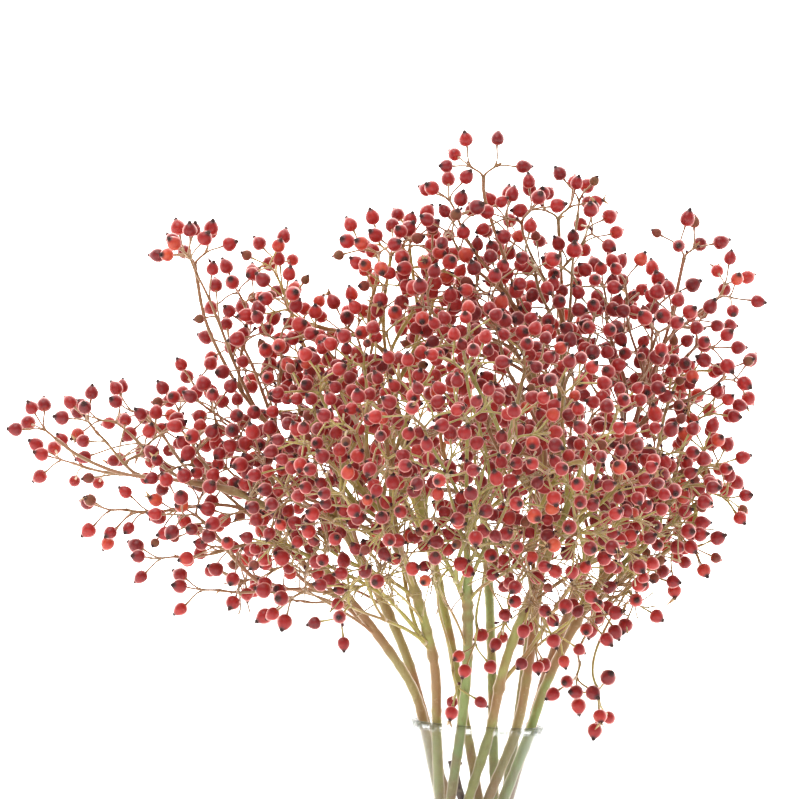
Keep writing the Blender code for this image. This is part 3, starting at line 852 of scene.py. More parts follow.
@dataclass
class Surface:
    """One mesh in the making: points, faces and values gathered from many small surfaces."""

    points: list[Array] = field(default_factory=list)
    faces: list[Array] = field(default_factory=list)
    values: dict[str, list[Array]] = field(default_factory=dict)
    count: int = 0

    def add(self, points: Array, faces: list[Array], **values: Array | float) -> None:
        """Adds a surface.

        Args:
            points: Its points.
            faces: Its faces, in blocks of equal corner counts.
            values: Values by name, one per point or one for all.
        """
        self.points.append(points)
        self.faces.extend(block + self.count for block in faces)
        for name, value in values.items():
            self.values.setdefault(name, []).append(np.broadcast_to(value, len(points)))
        self.count += len(points)

    def add_stamps(self, form: Form, stamps: Array, **values: Array) -> None:
        """Adds many stamps of one form.

        Args:
            form: The form that was stamped.
            stamps: Its points, one row per stamp.
            values: Values by name, one per stamp or one per point of each stamp.
        """
        number, size = stamps.shape[:2]
        shifts = (np.arange(number) * size)[:, None, None]
        blocks = [(block[None] + shifts).reshape(-1, block.shape[1]) for block in form.faces]
        spread = {name: np.broadcast_to(each, (number, size)) for name, each in values.items()}
        flat = {name: each.ravel() for name, each in spread.items()}
        self.add(stamps.reshape(-1, 3), blocks, **flat)

    def kept_in_box(self) -> "Surface":
        """The surface, with every point held inside the frame's box."""
        self.points = [np.clip(points, LOWEST, HIGHEST) for points in self.points]
        return self

    def finished(self, name: str, material: bpy.types.Material) -> bpy.types.Object:
        """The mesh as an object at the origin.

        Args:
            name: The piece's name.
            material: Its finish.

        Returns:
            The object, linked to the scene.
        """
        points = np.concatenate(self.points)
        corners = np.concatenate([block.ravel() for block in self.faces])
        sizes = np.concatenate([np.full(len(block), block.shape[1]) for block in self.faces])
        mesh = bpy.data.meshes.new(name)
        mesh.vertices.add(len(points))
        mesh.vertices.foreach_set("co", points.astype(np.float32).ravel())
        mesh.loops.add(len(corners))
        mesh.loops.foreach_set("vertex_index", corners.astype(np.int32))
        mesh.polygons.add(len(sizes))
        mesh.polygons.foreach_set("loop_start", (np.cumsum(sizes) - sizes).astype(np.int32))
        for label, parts in self.values.items():
            layer = mesh.attributes.new(label, "FLOAT", "POINT")
            layer.data.foreach_set("value", np.concatenate(parts).astype(np.float32))
        mesh.materials.append(material)
        mesh.update(calc_edges=True)
        mesh.validate()
        mesh.shade_smooth()
        return linked(name, mesh)


def place_piece(piece: bpy.types.Object, node: str) -> None:
    """Declares a piece, which rides on the one body.

    Args:
        piece: The finished object.
        node: The frame's node that it stands for.
    """
    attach(piece, "root")
    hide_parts(node)
    LOG.info("%s: %d faces, for %s", piece.name, len(piece.data.polygons), node)


# Growth, by the same rules as the frame's solids ---------------------------------------------


@dataclass
class Plan:
    """Where one sprig goes, in millimetres from the middle of the rim: right, back, up.

    The place is the cane's place on the ring of canes, and the route is its line above the rim,
    which ends in a crown of tip_hips hips.  Each cluster is the middle of a further spray of hips
    and how many hips it has.  Of a higher ripe, the hips are lighter, up to orange at 1, and
    hip_size is how wide they are beside the usual.
    """

    place: int
    tip_hips: int
    bark: Bark
    route: list[Triple]
    clusters: list[tuple[Triple, int]]
    ripe: float = 0.6
    hip_size: float = 1.0


PLANS = {
    "right_high_sprig": Plan(
        place=0,
        tip_hips=6,
        bark=Bark.RUSSET,
        route=[
            (36, 13, 34), (50, 18, 78), (62, 18, 122), (74, 14, 165), (84, 8, 200), (90, 2, 238),
        ],
        clusters=[
            ((110, 8, 250), 5), ((114, -6, 229), 6), ((66, -8, 226), 3), ((82, -20, 208), 8),
            ((104, -8, 204), 6), ((62, 14, 204), 7), ((119, 2, 187), 5), ((88, 32, 182), 7),
            ((68, -26, 180), 5), ((90, 34, 148), 7), ((44, 30, 150), 6), ((92, -8, 212), 6),
            ((56, 2, 224), 4), ((84, 16, 224), 5),
        ],
    ),
    "top_right_sprig": Plan(
        place=1,
        tip_hips=7,
        bark=Bark.DRAB,
        route=[
            (24, 29, 34), (30, 40, 90), (34, 36, 140), (33, 24, 190), (30, 14, 222), (26, 6, 254),
        ],
        clusters=[
            ((8, -6, 262), 7), ((42, 0, 256), 5), ((40, -12, 230), 7), ((16, -16, 240), 7),
            ((48, -16, 208), 7), ((26, 46, 208), 7), ((56, 50, 168), 7), ((22, -10, 214), 7),
            ((10, 62, 158), 7), ((38, 8, 268), 3),
        ],
    ),
    "back_sprig": Plan(
        place=2,
        tip_hips=7,
        bark=Bark.GREEN,
        route=[(6, 39, 36), (2, 60, 80), (-4, 80, 116), (-10, 98, 152)],
        clusters=[
            ((-40, 100, 156), 7), ((18, 104, 158), 7), ((-70, 86, 148), 7), ((46, 90, 148), 7),
            ((74, 70, 138), 6), ((-30, 76, 192), 7), ((8, 76, 192), 7), ((-46, 84, 114), 7),
            ((22, 88, 110), 7), ((48, 66, 118), 6), ((-14, 64, 138), 7),
        ],
    ),
    "top_left_sprig": Plan(
        place=3,
        tip_hips=8,
        bark=Bark.OLIVE,
        ripe=0.7,
        route=[
            (-15, 37, 38), (-28, 44, 85), (-42, 36, 130), (-54, 20, 170), (-59, 8, 200),
            (-57, 0, 230),
        ],
        clusters=[
            ((-112, -4, 210), 7), ((-66, -20, 240), 8), ((-76, 12, 201), 7), ((-40, -14, 232), 8),
            ((-36, 12, 222), 7), ((-60, -30, 201), 5), ((-30, 42, 204), 6), ((-100, 22, 186), 7),
            ((-120, 14, 229), 7), ((-84, 46, 174), 7), ((-66, 38, 142), 7), ((-96, 34, 146), 6),
            ((-50, -6, 246), 6), ((-62, -14, 224), 7), ((-94, 4, 196), 6),
        ],
    ),
    "left_high_sprig": Plan(
        place=5,
        tip_hips=8,
        bark=Bark.BROWN,
        route=[
            (-38, 7, 32), (-56, 10, 66), (-78, 14, 100), (-102, 14, 130), (-128, 10, 158),
            (-147, 4, 190), (-155, 2, 220),
        ],
        clusters=[
            ((-160, -12, 224), 4), ((-136, 14, 212), 7), ((-158, 6, 160), 5), ((-146, -24, 148), 7),
            ((-136, 24, 190), 7), ((-116, -12, 192), 8), ((-136, -2, 122), 7), ((-114, 36, 122), 6),
            ((-110, 10, 78), 6), ((-98, -16, 166), 8), ((-88, -6, 136), 7), ((-112, -26, 120), 7),
            ((-126, 2, 176), 6), ((-110, 24, 168), 6),
        ],
    ),
    "far_left_sprig": Plan(
        place=6,
        tip_hips=4,
        bark=Bark.BROWN,
        route=[
            (-36, -13, 20), (-58, -24, 48), (-80, -30, 72), (-98, -32, 92), (-122, -30, 106),
            (-152, -26, 111), (-182, -20, 113), (-204, -14, 120), (-217, -10, 128),
        ],
        clusters=[
            ((-220, 4, 122), 3), ((-206, -24, 138), 4), ((-199, 0, 145), 5), ((-184, -14, 132), 3),
            ((-168, 2, 146), 5), ((-158, -26, 126), 6), ((-190, -22, 100), 3), ((-163, -32, 78), 3),
            ((-142, -26, 62), 3), ((-154, -38, 100), 8), ((-124, -14, 70), 5), ((-98, -38, 60), 3),
            ((-120, -40, 128), 8), ((-96, -58, 66), 7), ((-128, -46, 104), 7), ((-138, -6, 146), 6),
            ((-150, -34, 114), 5), ((-184, 0, 150), 6),
        ],
    ),
    "front_left_sprig": Plan(
        place=7,
        tip_hips=8,
        hip_size=0.9,
        bark=Bark.OLIVE,
        route=[(-24, -27, 30), (-36, -45, 66), (-52, -64, 100), (-68, -82, 138)],
        clusters=[
            ((-56, -102, 134), 8), ((-94, -80, 140), 8), ((-78, -98, 116), 8), ((-52, -96, 102), 7),
            ((-104, -66, 112), 8), ((-84, -74, 88), 8), ((-60, -72, 72), 7), ((-108, -58, 90), 6),
            ((-70, -56, 180), 8), ((-46, -84, 168), 8), ((-92, -60, 166), 8), ((-84, -34, 172), 8),
            ((-72, -84, 60), 6), ((-100, -76, 128), 7), ((-60, -80, 158), 7), ((-96, -44, 158), 7),
            ((-68, -20, 166), 7), ((-86, -92, 124), 7), ((-74, -92, 98), 7), ((-56, -86, 76), 5),
            ((-54, -50, 114), 6),
        ],
    ),
    "front_sprig": Plan(
        place=8,
        tip_hips=8,
        hip_size=0.9,
        bark=Bark.GREEN,
        route=[(-8, -37, 34), (-11, -56, 76), (-14, -76, 112), (-16, -96, 146)],
        clusters=[
            ((-38, -108, 150), 8), ((8, -106, 148), 8), ((-26, -112, 128), 8), ((6, -100, 116), 8),
            ((-34, -92, 106), 8), ((-8, -88, 94), 7), ((-4, -60, 54), 3), ((12, -68, 184), 8),
            ((-20, -68, 192), 8), ((-16, -50, 28), 3), ((-18, -90, 178), 8), ((-10, -104, 112), 7),
            ((14, -92, 88), 6), ((-28, -86, 76), 3), ((-6, -96, 138), 7), ((16, -90, 150), 6),
            ((-12, -44, 118), 6),
        ],
    ),
    "front_right_sprig": Plan(
        place=9,
        tip_hips=8,
        hip_size=0.9,
        bark=Bark.OLIVE,
        route=[(11, -38, 34), (22, -54, 70), (32, -70, 102), (42, -88, 138)],
        clusters=[
            ((26, -100, 134), 8), ((64, -84, 130), 8), ((44, -92, 104), 8), ((64, -68, 98), 5),
            ((24, -72, 74), 6), ((50, -56, 62), 7), ((26, -50, 40), 5), ((32, -80, 172), 8),
            ((60, -64, 162), 6), ((20, -62, 128), 8), ((44, -78, 78), 7), ((32, -62, 54), 6),
            ((66, -72, 112), 7), ((40, -96, 122), 6), ((14, -48, 66), 4),
        ],
    ),
    "top_sprig": Plan(
        place=10,
        tip_hips=5,
        bark=Bark.BROWN,
        route=[
            (22, -23, 24), (25, -20, 62), (27, -10, 105), (22, -4, 150), (14, 0, 190), (4, 0, 222),
            (-6, -2, 246), (-12, -4, 262), (-13, -4, 272),
        ],
        clusters=[
            ((-26, -6, 264), 4), ((2, 8, 256), 5), ((-28, -14, 252), 8), ((-6, -26, 222), 8),
            ((4, 24, 230), 7), ((0, -36, 198), 8), ((-28, 20, 206), 7), ((16, 32, 176), 7),
            ((-22, 26, 158), 7), ((40, -36, 182), 8), ((-38, -36, 214), 8), ((-4, -20, 160), 7),
            ((-14, 10, 226), 6),
        ],
    ),
    "right_sprig": Plan(
        place=11,
        tip_hips=7,
        bark=Bark.GREEN,
        route=[(32, -9, 20), (44, -14, 50), (60, -16, 80), (80, -12, 104), (104, -8, 134)],
        clusters=[
            ((108, 6, 166), 7), ((117, -4, 128), 7), ((103, -14, 102), 7), ((92, -32, 108), 8),
            ((88, -36, 146), 8), ((98, 12, 188), 6), ((80, -18, 76), 6), ((66, -36, 76), 7),
            ((98, 24, 126), 7), ((56, -38, 36), 4), ((67, -32, 22), 5), ((60, -6, 128), 7),
            ((84, -24, 128), 7), ((92, -20, 96), 6), ((114, -6, 142), 8), ((96, -40, 128), 6),
        ],
    ),
}


@dataclass
class Branch:
    """One branch: its line, the curve it stands for, its shoots, and the hip at its end.

    Most is the greatest radius that it's drawn with.
    """

    points: Array
    curve: Array | None = None
    shoots: list[tuple[float, "Branch"]] = field(default_factory=list)
    hip_radius: float = 0.0
    most: float = CANE_RADIUS

    def arcs(self) -> Array:
        """Distance along the line to each of its points."""
        steps = np.linalg.norm(np.diff(self.points, axis=0), axis=1)
        return np.concatenate(([0.0], np.cumsum(steps)))

    def hips_beyond(self) -> int:
        """How many hips the branch carries."""
        own = 1 if self.hip_radius else 0
        return own + sum(shoot.hips_beyond() for _, shoot in self.shoots)

    def way(self) -> Array:
        """The direction in which the branch leaves its parent."""
        return unit(self.points[1] - self.points[0])

    def spot(self, arc: float) -> tuple[Array, Array]:
        """A place on the branch.

        Args:
            arc: The distance along its line.

        Returns:
            The point and the direction there.
        """
        arcs = self.arcs()
        point = np.array([np.interp(arc, arcs, self.points[:, axis]) for axis in range(3)])
        index = int(np.clip(np.searchsorted(arcs, arc, side="right") - 1, 0, len(arcs) - 2))
        return point, unit(self.points[index + 1] - self.points[index])


class Room:
    """All that has grown, as round-ended rods, so that new growth keeps clear of it."""

    def __init__(self) -> None:
        """Starts empty."""
        self.starts = np.empty((0, 3))
        self.ends = np.empty((0, 3))
        self.radii = np.empty(0)
        self.owners = np.empty(0, dtype=int)

    def add(self, start: Array, end: Array, radius: float, owner: Branch) -> None:
        """Fills one more rod.

        Args:
            start: Its start.
            end: Its end.
            radius: Its radius.
            owner: The branch that it belongs to.
        """
        self.starts = np.vstack((self.starts, start))
        self.ends = np.vstack((self.ends, end))
        self.radii = np.append(self.radii, radius)
        self.owners = np.append(self.owners, id(owner))

    def add_path(self, points: Array, radius: float, owner: Branch) -> None:
        """Fills a line of rods."""
        for start, end in zip(points, points[1:]):
            self.add(start, end, radius, owner)

    def gap(
        self, start: Array, end: Array, radius: float, parent: Branch | None = None
    ) -> float:
        """Least clear distance from a new rod to all rods but those of its parent.

        The closest points of two rods minimise the distance between start + s along and
        other + t their_along, with s and t held between 0 and 1 in turn.

        Args:
            start: The new rod's start.
            end: Its end.
            radius: Its radius.
            parent: The branch whose rods don't count.

        Returns:
            The distance between the surfaces, less than 0 where they cut.
        """
        along = end - start
        others = self.ends - self.starts
        offset = start - self.starts
        own = max(along @ along, LEAST_SQUARE)
        theirs = np.maximum(np.einsum("ij,ij->i", others, others), LEAST_SQUARE)
        across = others @ along
        shift = offset @ along
        reach = np.einsum("ij,ij->i", others, offset)
        spread = np.maximum(own * theirs - across * across, LEAST_SPREAD)
        share = np.clip((across * reach - shift * theirs) / spread, 0.0, 1.0)
        other_share = np.clip((across * share + reach) / theirs, 0.0, 1.0)
        share = np.clip((across * other_share - shift) / own, 0.0, 1.0)
        apart = offset + share[:, None] * along - other_share[:, None] * others
        clear = np.linalg.norm(apart, axis=1) - self.radii
        return float(np.min(clear[self.owners != id(parent)], initial=1.0) - radius)

    def path_gap(self, points: Array, radius: float, parent: Branch, skip: float) -> float:
        """Least clear distance along a line of points.

        Args:
            points: The line.
            radius: Its radius.
            parent: The branch from which it grows, whose rods don't count for the first step.
            skip: The share of the first step that isn't looked at.

        Returns:
            The distance between the surfaces, less than 0 where they cut.
        """
        first = points[0] + (points[1] - points[0]) * skip
        gaps = [self.gap(first, points[1], radius, parent)]
        gaps.extend(self.gap(start, end, radius) for start, end in zip(points[1:], points[2:]))
        return min(gaps)


def curve_through(points: Array, spacing: float) -> Array:
    """The Catmull-Rom curve through points.

    Between two points, half of 2 start + (end - before) t + (2 before - 5 start + 4 end - after)
    t squared + (3 start - before - 3 end + after) t cubed.

    Args:
        points: The points that it goes through.
        spacing: The distance asked for between two points of the result.

    Returns:
        The points of the curve, ends included.
    """
    ends = np.vstack((2 * points[0] - points[1], points, 2 * points[-1] - points[-2]))
    pieces = [points[:1]]
    for before, start, end, after in zip(ends, ends[1:], ends[2:], ends[3:]):
        count = max(int(round(np.linalg.norm(end - start) / spacing)), 1)
        t = np.linspace(0, 1, count + 1)[1:, None]
        bend = 2 * start + (end - before) * t
        bend = bend + (2 * before - 5 * start + 4 * end - after) * t**2
        bend = bend + (3 * start - before - 3 * end + after) * t**3
        pieces.append(bend / 2)
    return np.vstack(pieces)


def arch_between(start: Array, out: Array, end: Array, final: Array, leads: Pair) -> Array:
    """The corners of an arch that leaves along one direction and arrives along another.

    Args:
        start: Where it leaves.
        out: The direction in which it leaves.
        end: Where it arrives.
        final: The direction in which it arrives.
        leads: How far the inner corners lie from the ends, as shares of the distance between them.

    Returns:
        The four corners.
    """
    reach = np.linalg.norm(end - start)
    return np.stack((start, start + out * reach * leads[0], end - final * reach * leads[1], end))


def bezier(corners: Array, shares: Array) -> Array:
    """The cubic curve of four corners, weighted by the third powers of 1 - t and t between them.

    Args:
        corners: The four corners.
        shares: How far along each point lies, from 0 to 1.

    Returns:
        The points.
    """
    t = np.asarray(shares)[:, None]
    left = (1 - t) ** 3 * corners[0] + 3 * (1 - t) ** 2 * t * corners[1]
    return left + 3 * (1 - t) * t**2 * corners[2] + t**3 * corners[3]


def tilted(direction: Array, angle: float, turn: float) -> Array:
    """The direction leaned over.

    Args:
        direction: A unit direction.
        angle: How far it leans.
        turn: The side that it leans to, as an angle round it.

    Returns:
        The leaning unit direction.
    """
    helper = UP if abs(direction[2]) < NEARLY_UPRIGHT else ACROSS
    side = unit(np.cross(direction, helper))
    up = np.cross(side, direction)
    lean = math.cos(turn) * side + math.sin(turn) * up
    return math.cos(angle) * direction + math.sin(angle) * lean


def loosened(way: Array, looseness: float, rng: np.random.Generator) -> Array:
    """A unit direction near the one given."""
    return unit(way + looseness * rng.normal(size=3))


def ring_point(angle: float, height: float) -> Array:
    """A point on the ring of canes, at a height above the surface."""
    radius = CANE_RING_RADIUS
    return np.array((radius * math.cos(angle), radius * math.sin(angle), height))


def cane_ends(place: int) -> tuple[Array, Array]:
    """Where a cane stands in the foot and crosses the rim.

    Args:
        place: Its place on the ring.

    Returns:
        The two points.
    """
    angle = FIRST_CANE_ANGLE + place * math.tau / CANE_PLACES
    foot = ring_point(angle + CANE_TURN, FLOOR_THICKNESS + CANE_FOOT_GAP)
    return foot, ring_point(angle, VASE_HEIGHT)


def from_rim(points: Triple | list[Triple]) -> Array:
    """Points in metres above the surface, from millimetres above the rim."""
    return np.atleast_2d(np.array(points, dtype=float)) * MM + np.array((0.0, 0.0, VASE_HEIGHT))


def hip_core(end: Array, way: Array, hip_radius: float) -> tuple[Array, Array]:
    """The two ends of the rod that stands for a hip in the room: the middle stretch of its axis."""
    near, far = HIP_CORE
    return end + way * hip_radius * near, end + way * hip_radius * far


class Growth:
    """Grows every sprig as a tree of branches, each clear of all that grew before it."""

    def __init__(self) -> None:
        """Starts with an empty room."""
        self.room = Room()
        self.heart = from_rim(HEART)[0]
        self.rng = random.Random(SEED)

    def grow(self) -> dict[str, Branch]:
        """Grows canes, then twigs, then crowns of hips, and the late hips last.

        Returns:
            The canes by the name of their sprig, with all that they carry.
        """
        canes = {name: self.grow_cane(plan) for name, plan in PLANS.items()}
        twigs = []
        for name, plan in PLANS.items():
            cane = canes[name]
            twigs.append((cane, plan.tip_hips))
            foot, rim = cane_ends(plan.place)
            nodes = self.nodes_of(cane, np.linalg.norm(rim - foot) + FIRST_NODE_ABOVE_RIM)
            for centre, hips in plan.clusters:
                twig = self.grow_twig(nodes, from_rim(centre)[0])
                if twig:
                    nodes.extend(self.nodes_of(twig, FIRST_NODE_ON_TWIG))
                    twigs.append((twig, hips))
        for twig, hips in twigs:
            self.grow_crown(twig, hips)
        for twig, _ in twigs:
            if twig.most < CANE_RADIUS:
                self.fill_in(twig)
        return canes

    def grow_cane(self, plan: Plan) -> Branch:
        """Grows a cane from its cut foot through the rim and along its route.

        Args:
            plan: The sprig's plan.

        Returns:
            The cane.
        """
        foot, rim = cane_ends(plan.place)
        below = rim - unit(rim - foot) * CANE_STRAIGHT_BELOW_RIM
        corners = np.vstack((below, rim, from_rim(plan.route)))
        straight = np.linspace(foot, below, STRAIGHT_POINTS)[:-1]
        fine = np.vstack((straight, curve_through(corners, FINE_STEP)))
        cane = Branch(points=np.vstack((foot, curve_through(corners, CANE_STEP))), curve=fine)
        self.room.add_path(cane.points, CANE_RADIUS, cane)
        return cane

    def nodes_of(self, branch: Branch, first: float) -> list[tuple]:
        """Branch, distance, point and direction of each place where a twig may leave."""
        places = np.arange(first, branch.arcs()[-1] - LAST_NODE_BEFORE_END, NODE_SPACING)
        return [(branch, arc, *branch.spot(arc)) for arc in places]

    def twig_cost(self, node: tuple, hub: Array) -> float:
        """How poor a node is for a twig: the distance, raised by a wide or narrow fork.

        Args:
            node: The place where the twig would leave.
            hub: The point that it would reach.

        Returns:
            The cost, in metres.
        """
        branch, arc, point, along = node
        reach = hub - point
        length = np.linalg.norm(reach)
        angle = math.acos(float(np.clip(reach @ along / length, -1, 1)))
        too_wide = WIDE_FORK_COST * max(angle - WIDE_FORK, 0)
        too_narrow = NARROW_FORK_COST * max(NARROW_FORK - angle, 0)
        crowded = any(abs(place - arc) < CLOSE_NODE for place, _ in branch.shoots)
        reach_cost = TWIG_LENGTH + abs(length - TWIG_LENGTH)
        return reach_cost * (1 + too_wide + too_narrow) + (CLOSE_NODE_COST if crowded else 0)

    def grow_twig(self, nodes: list[tuple], centre: Array) -> Branch | None:
        """The twig that carries a cluster.

        Args:
            nodes: The places where it may leave.
            centre: The middle of the cluster.

        Returns:
            The cheapest twig that stays clear of all other growth, or None.
        """
        out = unit(centre - self.heart)
        hub = centre - out * CROWN_DEPTH
        ranked = sorted(nodes, key=lambda node: self.twig_cost(node, hub))
        for branch, arc, point, along in ranked[:NODES_TRIED]:
            way = unit(hub - point)
            lead = unit(along + LEAD_TURN * way)
            final = unit(out + ARRIVAL_TURN * way)
            arch = arch_between(point, lead, hub, final, ARCH_LEADS)
            line = bezier(arch, TWIG_SHARES)
            if self.room.path_gap(line, TWIG_RADIUS, branch, TWIG_CLEAR_FROM) > GAP:
                twig = Branch(points=line, curve=arch, most=TWIG_RADIUS)
                branch.shoots.append((arc, twig))
                self.room.add_path(line, TWIG_RADIUS, twig)
                return twig
        return None

    def clear_shoot(
        self,
        parent: Branch,
        direction: Array,
        length: float,
        radius: float,
        hip_radius: float = 0.0,
        start: Array | None = None,
    ) -> tuple[Array, Array] | None:
        """Looks for a straight shoot near the direction asked for that is clear.

        Args:
            parent: The branch from which it grows.
            direction: The direction asked for.
            length: The length asked for.
            radius: The shoot's radius.
            hip_radius: The radius of the hip on its end, or 0.
            start: Where it leaves its parent, or None for the parent's end.

        Returns:
            The shoot's end and direction, or None.
        """
        start = parent.points[-1] if start is None else start
        for attempt in range(SHOOTS_TRIED):
            loose = FIRST_LOOSENESS + MORE_LOOSENESS * attempt
            spread = LENGTH_LOOSENESS * loose
            way = tilted(direction, abs(self.rng.gauss(0, loose)), self.rng.uniform(0, math.tau))
            end = start + way * length * self.rng.uniform(1 - spread, 1 + spread)
            if self.room.path_gap(np.vstack((start, end)), radius, parent, SHOOT_CLEAR_FROM) < GAP:
                continue
            if hip_radius and self.room.gap(*hip_core(end, way, hip_radius), hip_radius) < GAP:
                continue
            return end, way
        return None

    def fill_in(self, twig: Branch) -> None:
        """Single small hips along a twig, wherever there is still room.

        They come after all the growth that the frame's solids have, on stalks too fine for those.
        They thin out towards the outside, and keep off the front and the lowest part of the bunch.

        Args:
            twig: The twig.
        """
        for _ in range(LATE_HIPS):
            arc = self.rng.uniform(LATE_FROM, 1.0) * twig.arcs()[-1]
            start, along = twig.spot(arc)
            if self.rng.random() > (LATE_REACH - np.linalg.norm(start - self.heart)) / LATE_FADE:
                continue
            if start[2] < VASE_HEIGHT + LATE_ABOVE or start[1] < LATE_FRONT:
                continue
            way = tilted(along, LATE_LEAN, self.rng.uniform(0, math.tau))
            radius = HIP_RADIUS * self.rng.uniform(*LATE_SIZE)
            reach = self.rng.uniform(*LATE_STALK)
            found = self.clear_shoot(twig, way, reach, STALK_RADIUS, radius, start)
            if not found:
                continue
            end, way = found
            tip = end + way * 2 * radius
            if np.any(tip < LOWEST + radius) or np.any(tip > HIGHEST - radius):
                continue
            own = Branch(points=np.vstack((start, end)), hip_radius=radius)
            twig.shoots.append((arc, own))
            self.room.add(start + (end - start) * SHOOT_CLEAR_FROM, end, STALK_RADIUS, own)
            self.room.add(*hip_core(end, way, radius), radius, own)

    def grow_crown(self, twig: Branch, hips: int) -> None:
        """Grows the groups of hips at the end of a twig.

        Args:
            twig: The twig.
            hips: How many hips the groups have in all.
        """
        out = unit(twig.points[-1] - twig.points[-2])
        groups = max(int(round(hips / HIPS_PER_GROUP)), 1)
        first_turn = self.rng.uniform(0, math.tau)
        end_arc = twig.arcs()[-1]
        for index in range(groups):
            share = hips // groups + (1 if index < hips % groups else 0)
            turn = first_turn + index * math.tau / groups
            way = tilted(out, GROUP_LEAN if groups > 1 else 0.0, turn)
            found = self.clear_shoot(twig, way, GROUP_STALK, GROUP_STALK_RADIUS)
            if not found:
                continue
            stalk = Branch(points=np.vstack((twig.points[-1], found[0])))
            self.grow_hips(stalk, found[1], share)
            if stalk.shoots:
                self.room.add_path(stalk.points, GROUP_STALK_RADIUS, stalk)
                twig.shoots.append((end_arc, stalk))

    def grow_hips(self, stalk: Branch, out: Array, hips: int) -> None:
        """Grows the hips at the end of a shared stalk, each on a stalk of its own.

        Args:
            stalk: The shared stalk.
            out: Its direction.
            hips: How many hips there are to be.
        """
        joint = stalk.points[-1]
        first_turn = self.rng.uniform(0, math.tau)
        for index in range(hips):
            turn = first_turn + index * math.tau / hips
            way = tilted(out, HIP_LEAN if hips > 1 else 0.0, turn)
            radius = HIP_RADIUS * self.rng.uniform(1 - HIP_RADIUS_SPREAD, 1 + HIP_RADIUS_SPREAD)
            found = self.clear_shoot(stalk, way, HIP_STALK, STALK_RADIUS, radius * HIP_RING_SHARE)
            if not found:
                continue
            end, way = found
            own = Branch(points=np.vstack((joint, end)), hip_radius=radius)
            stalk.shoots.append((stalk.arcs()[-1], own))
            self.room.add(joint + (end - joint) * SHOOT_CLEAR_FROM, end, STALK_RADIUS, own)
            self.room.add(*hip_core(end, way, radius), radius * HIP_RING_SHARE, own)


# The sprigs ----------------------------------------------------------------------------------


@dataclass(frozen=True)
class Drawing:
    """How a branch is drawn: points round it, the length of a step along it, and its least load.

    The load is in hips, and the thickness follows from it.
    """

    sides: int
    step: float
    load: int


class Rank(Enum):
    """The ranks of branches, from the cane out to the stalk of a hip."""

    CANE = Drawing(12, 3.0 * MM, 9)
    TWIG = Drawing(7, 3.0 * MM, 4)
    SHARED_STALK = Drawing(6, 2.2 * MM, 2)
    HIP_STALK = Drawing(5, 2.6 * MM, 1)

    @classmethod
    def of_shoot(cls, branch: Branch) -> "Rank":
        """The rank of a branch that grows from another.

        Args:
            branch: The branch.

        Returns:
            Its rank.
        """
        if branch.hip_radius:
            return cls.HIP_STALK
        return cls.SHARED_STALK if branch.curve is None else cls.TWIG


@dataclass
class Hip:
    """One hip: where its stalk ends, where it points, and its radius."""

    base: Array
    way: Array
    radius: float


@dataclass
class Seat:
    """The top of a hip, where its calyx crown sits, and the hip's largest radius."""

    top: Array
    way: Array
    width: float


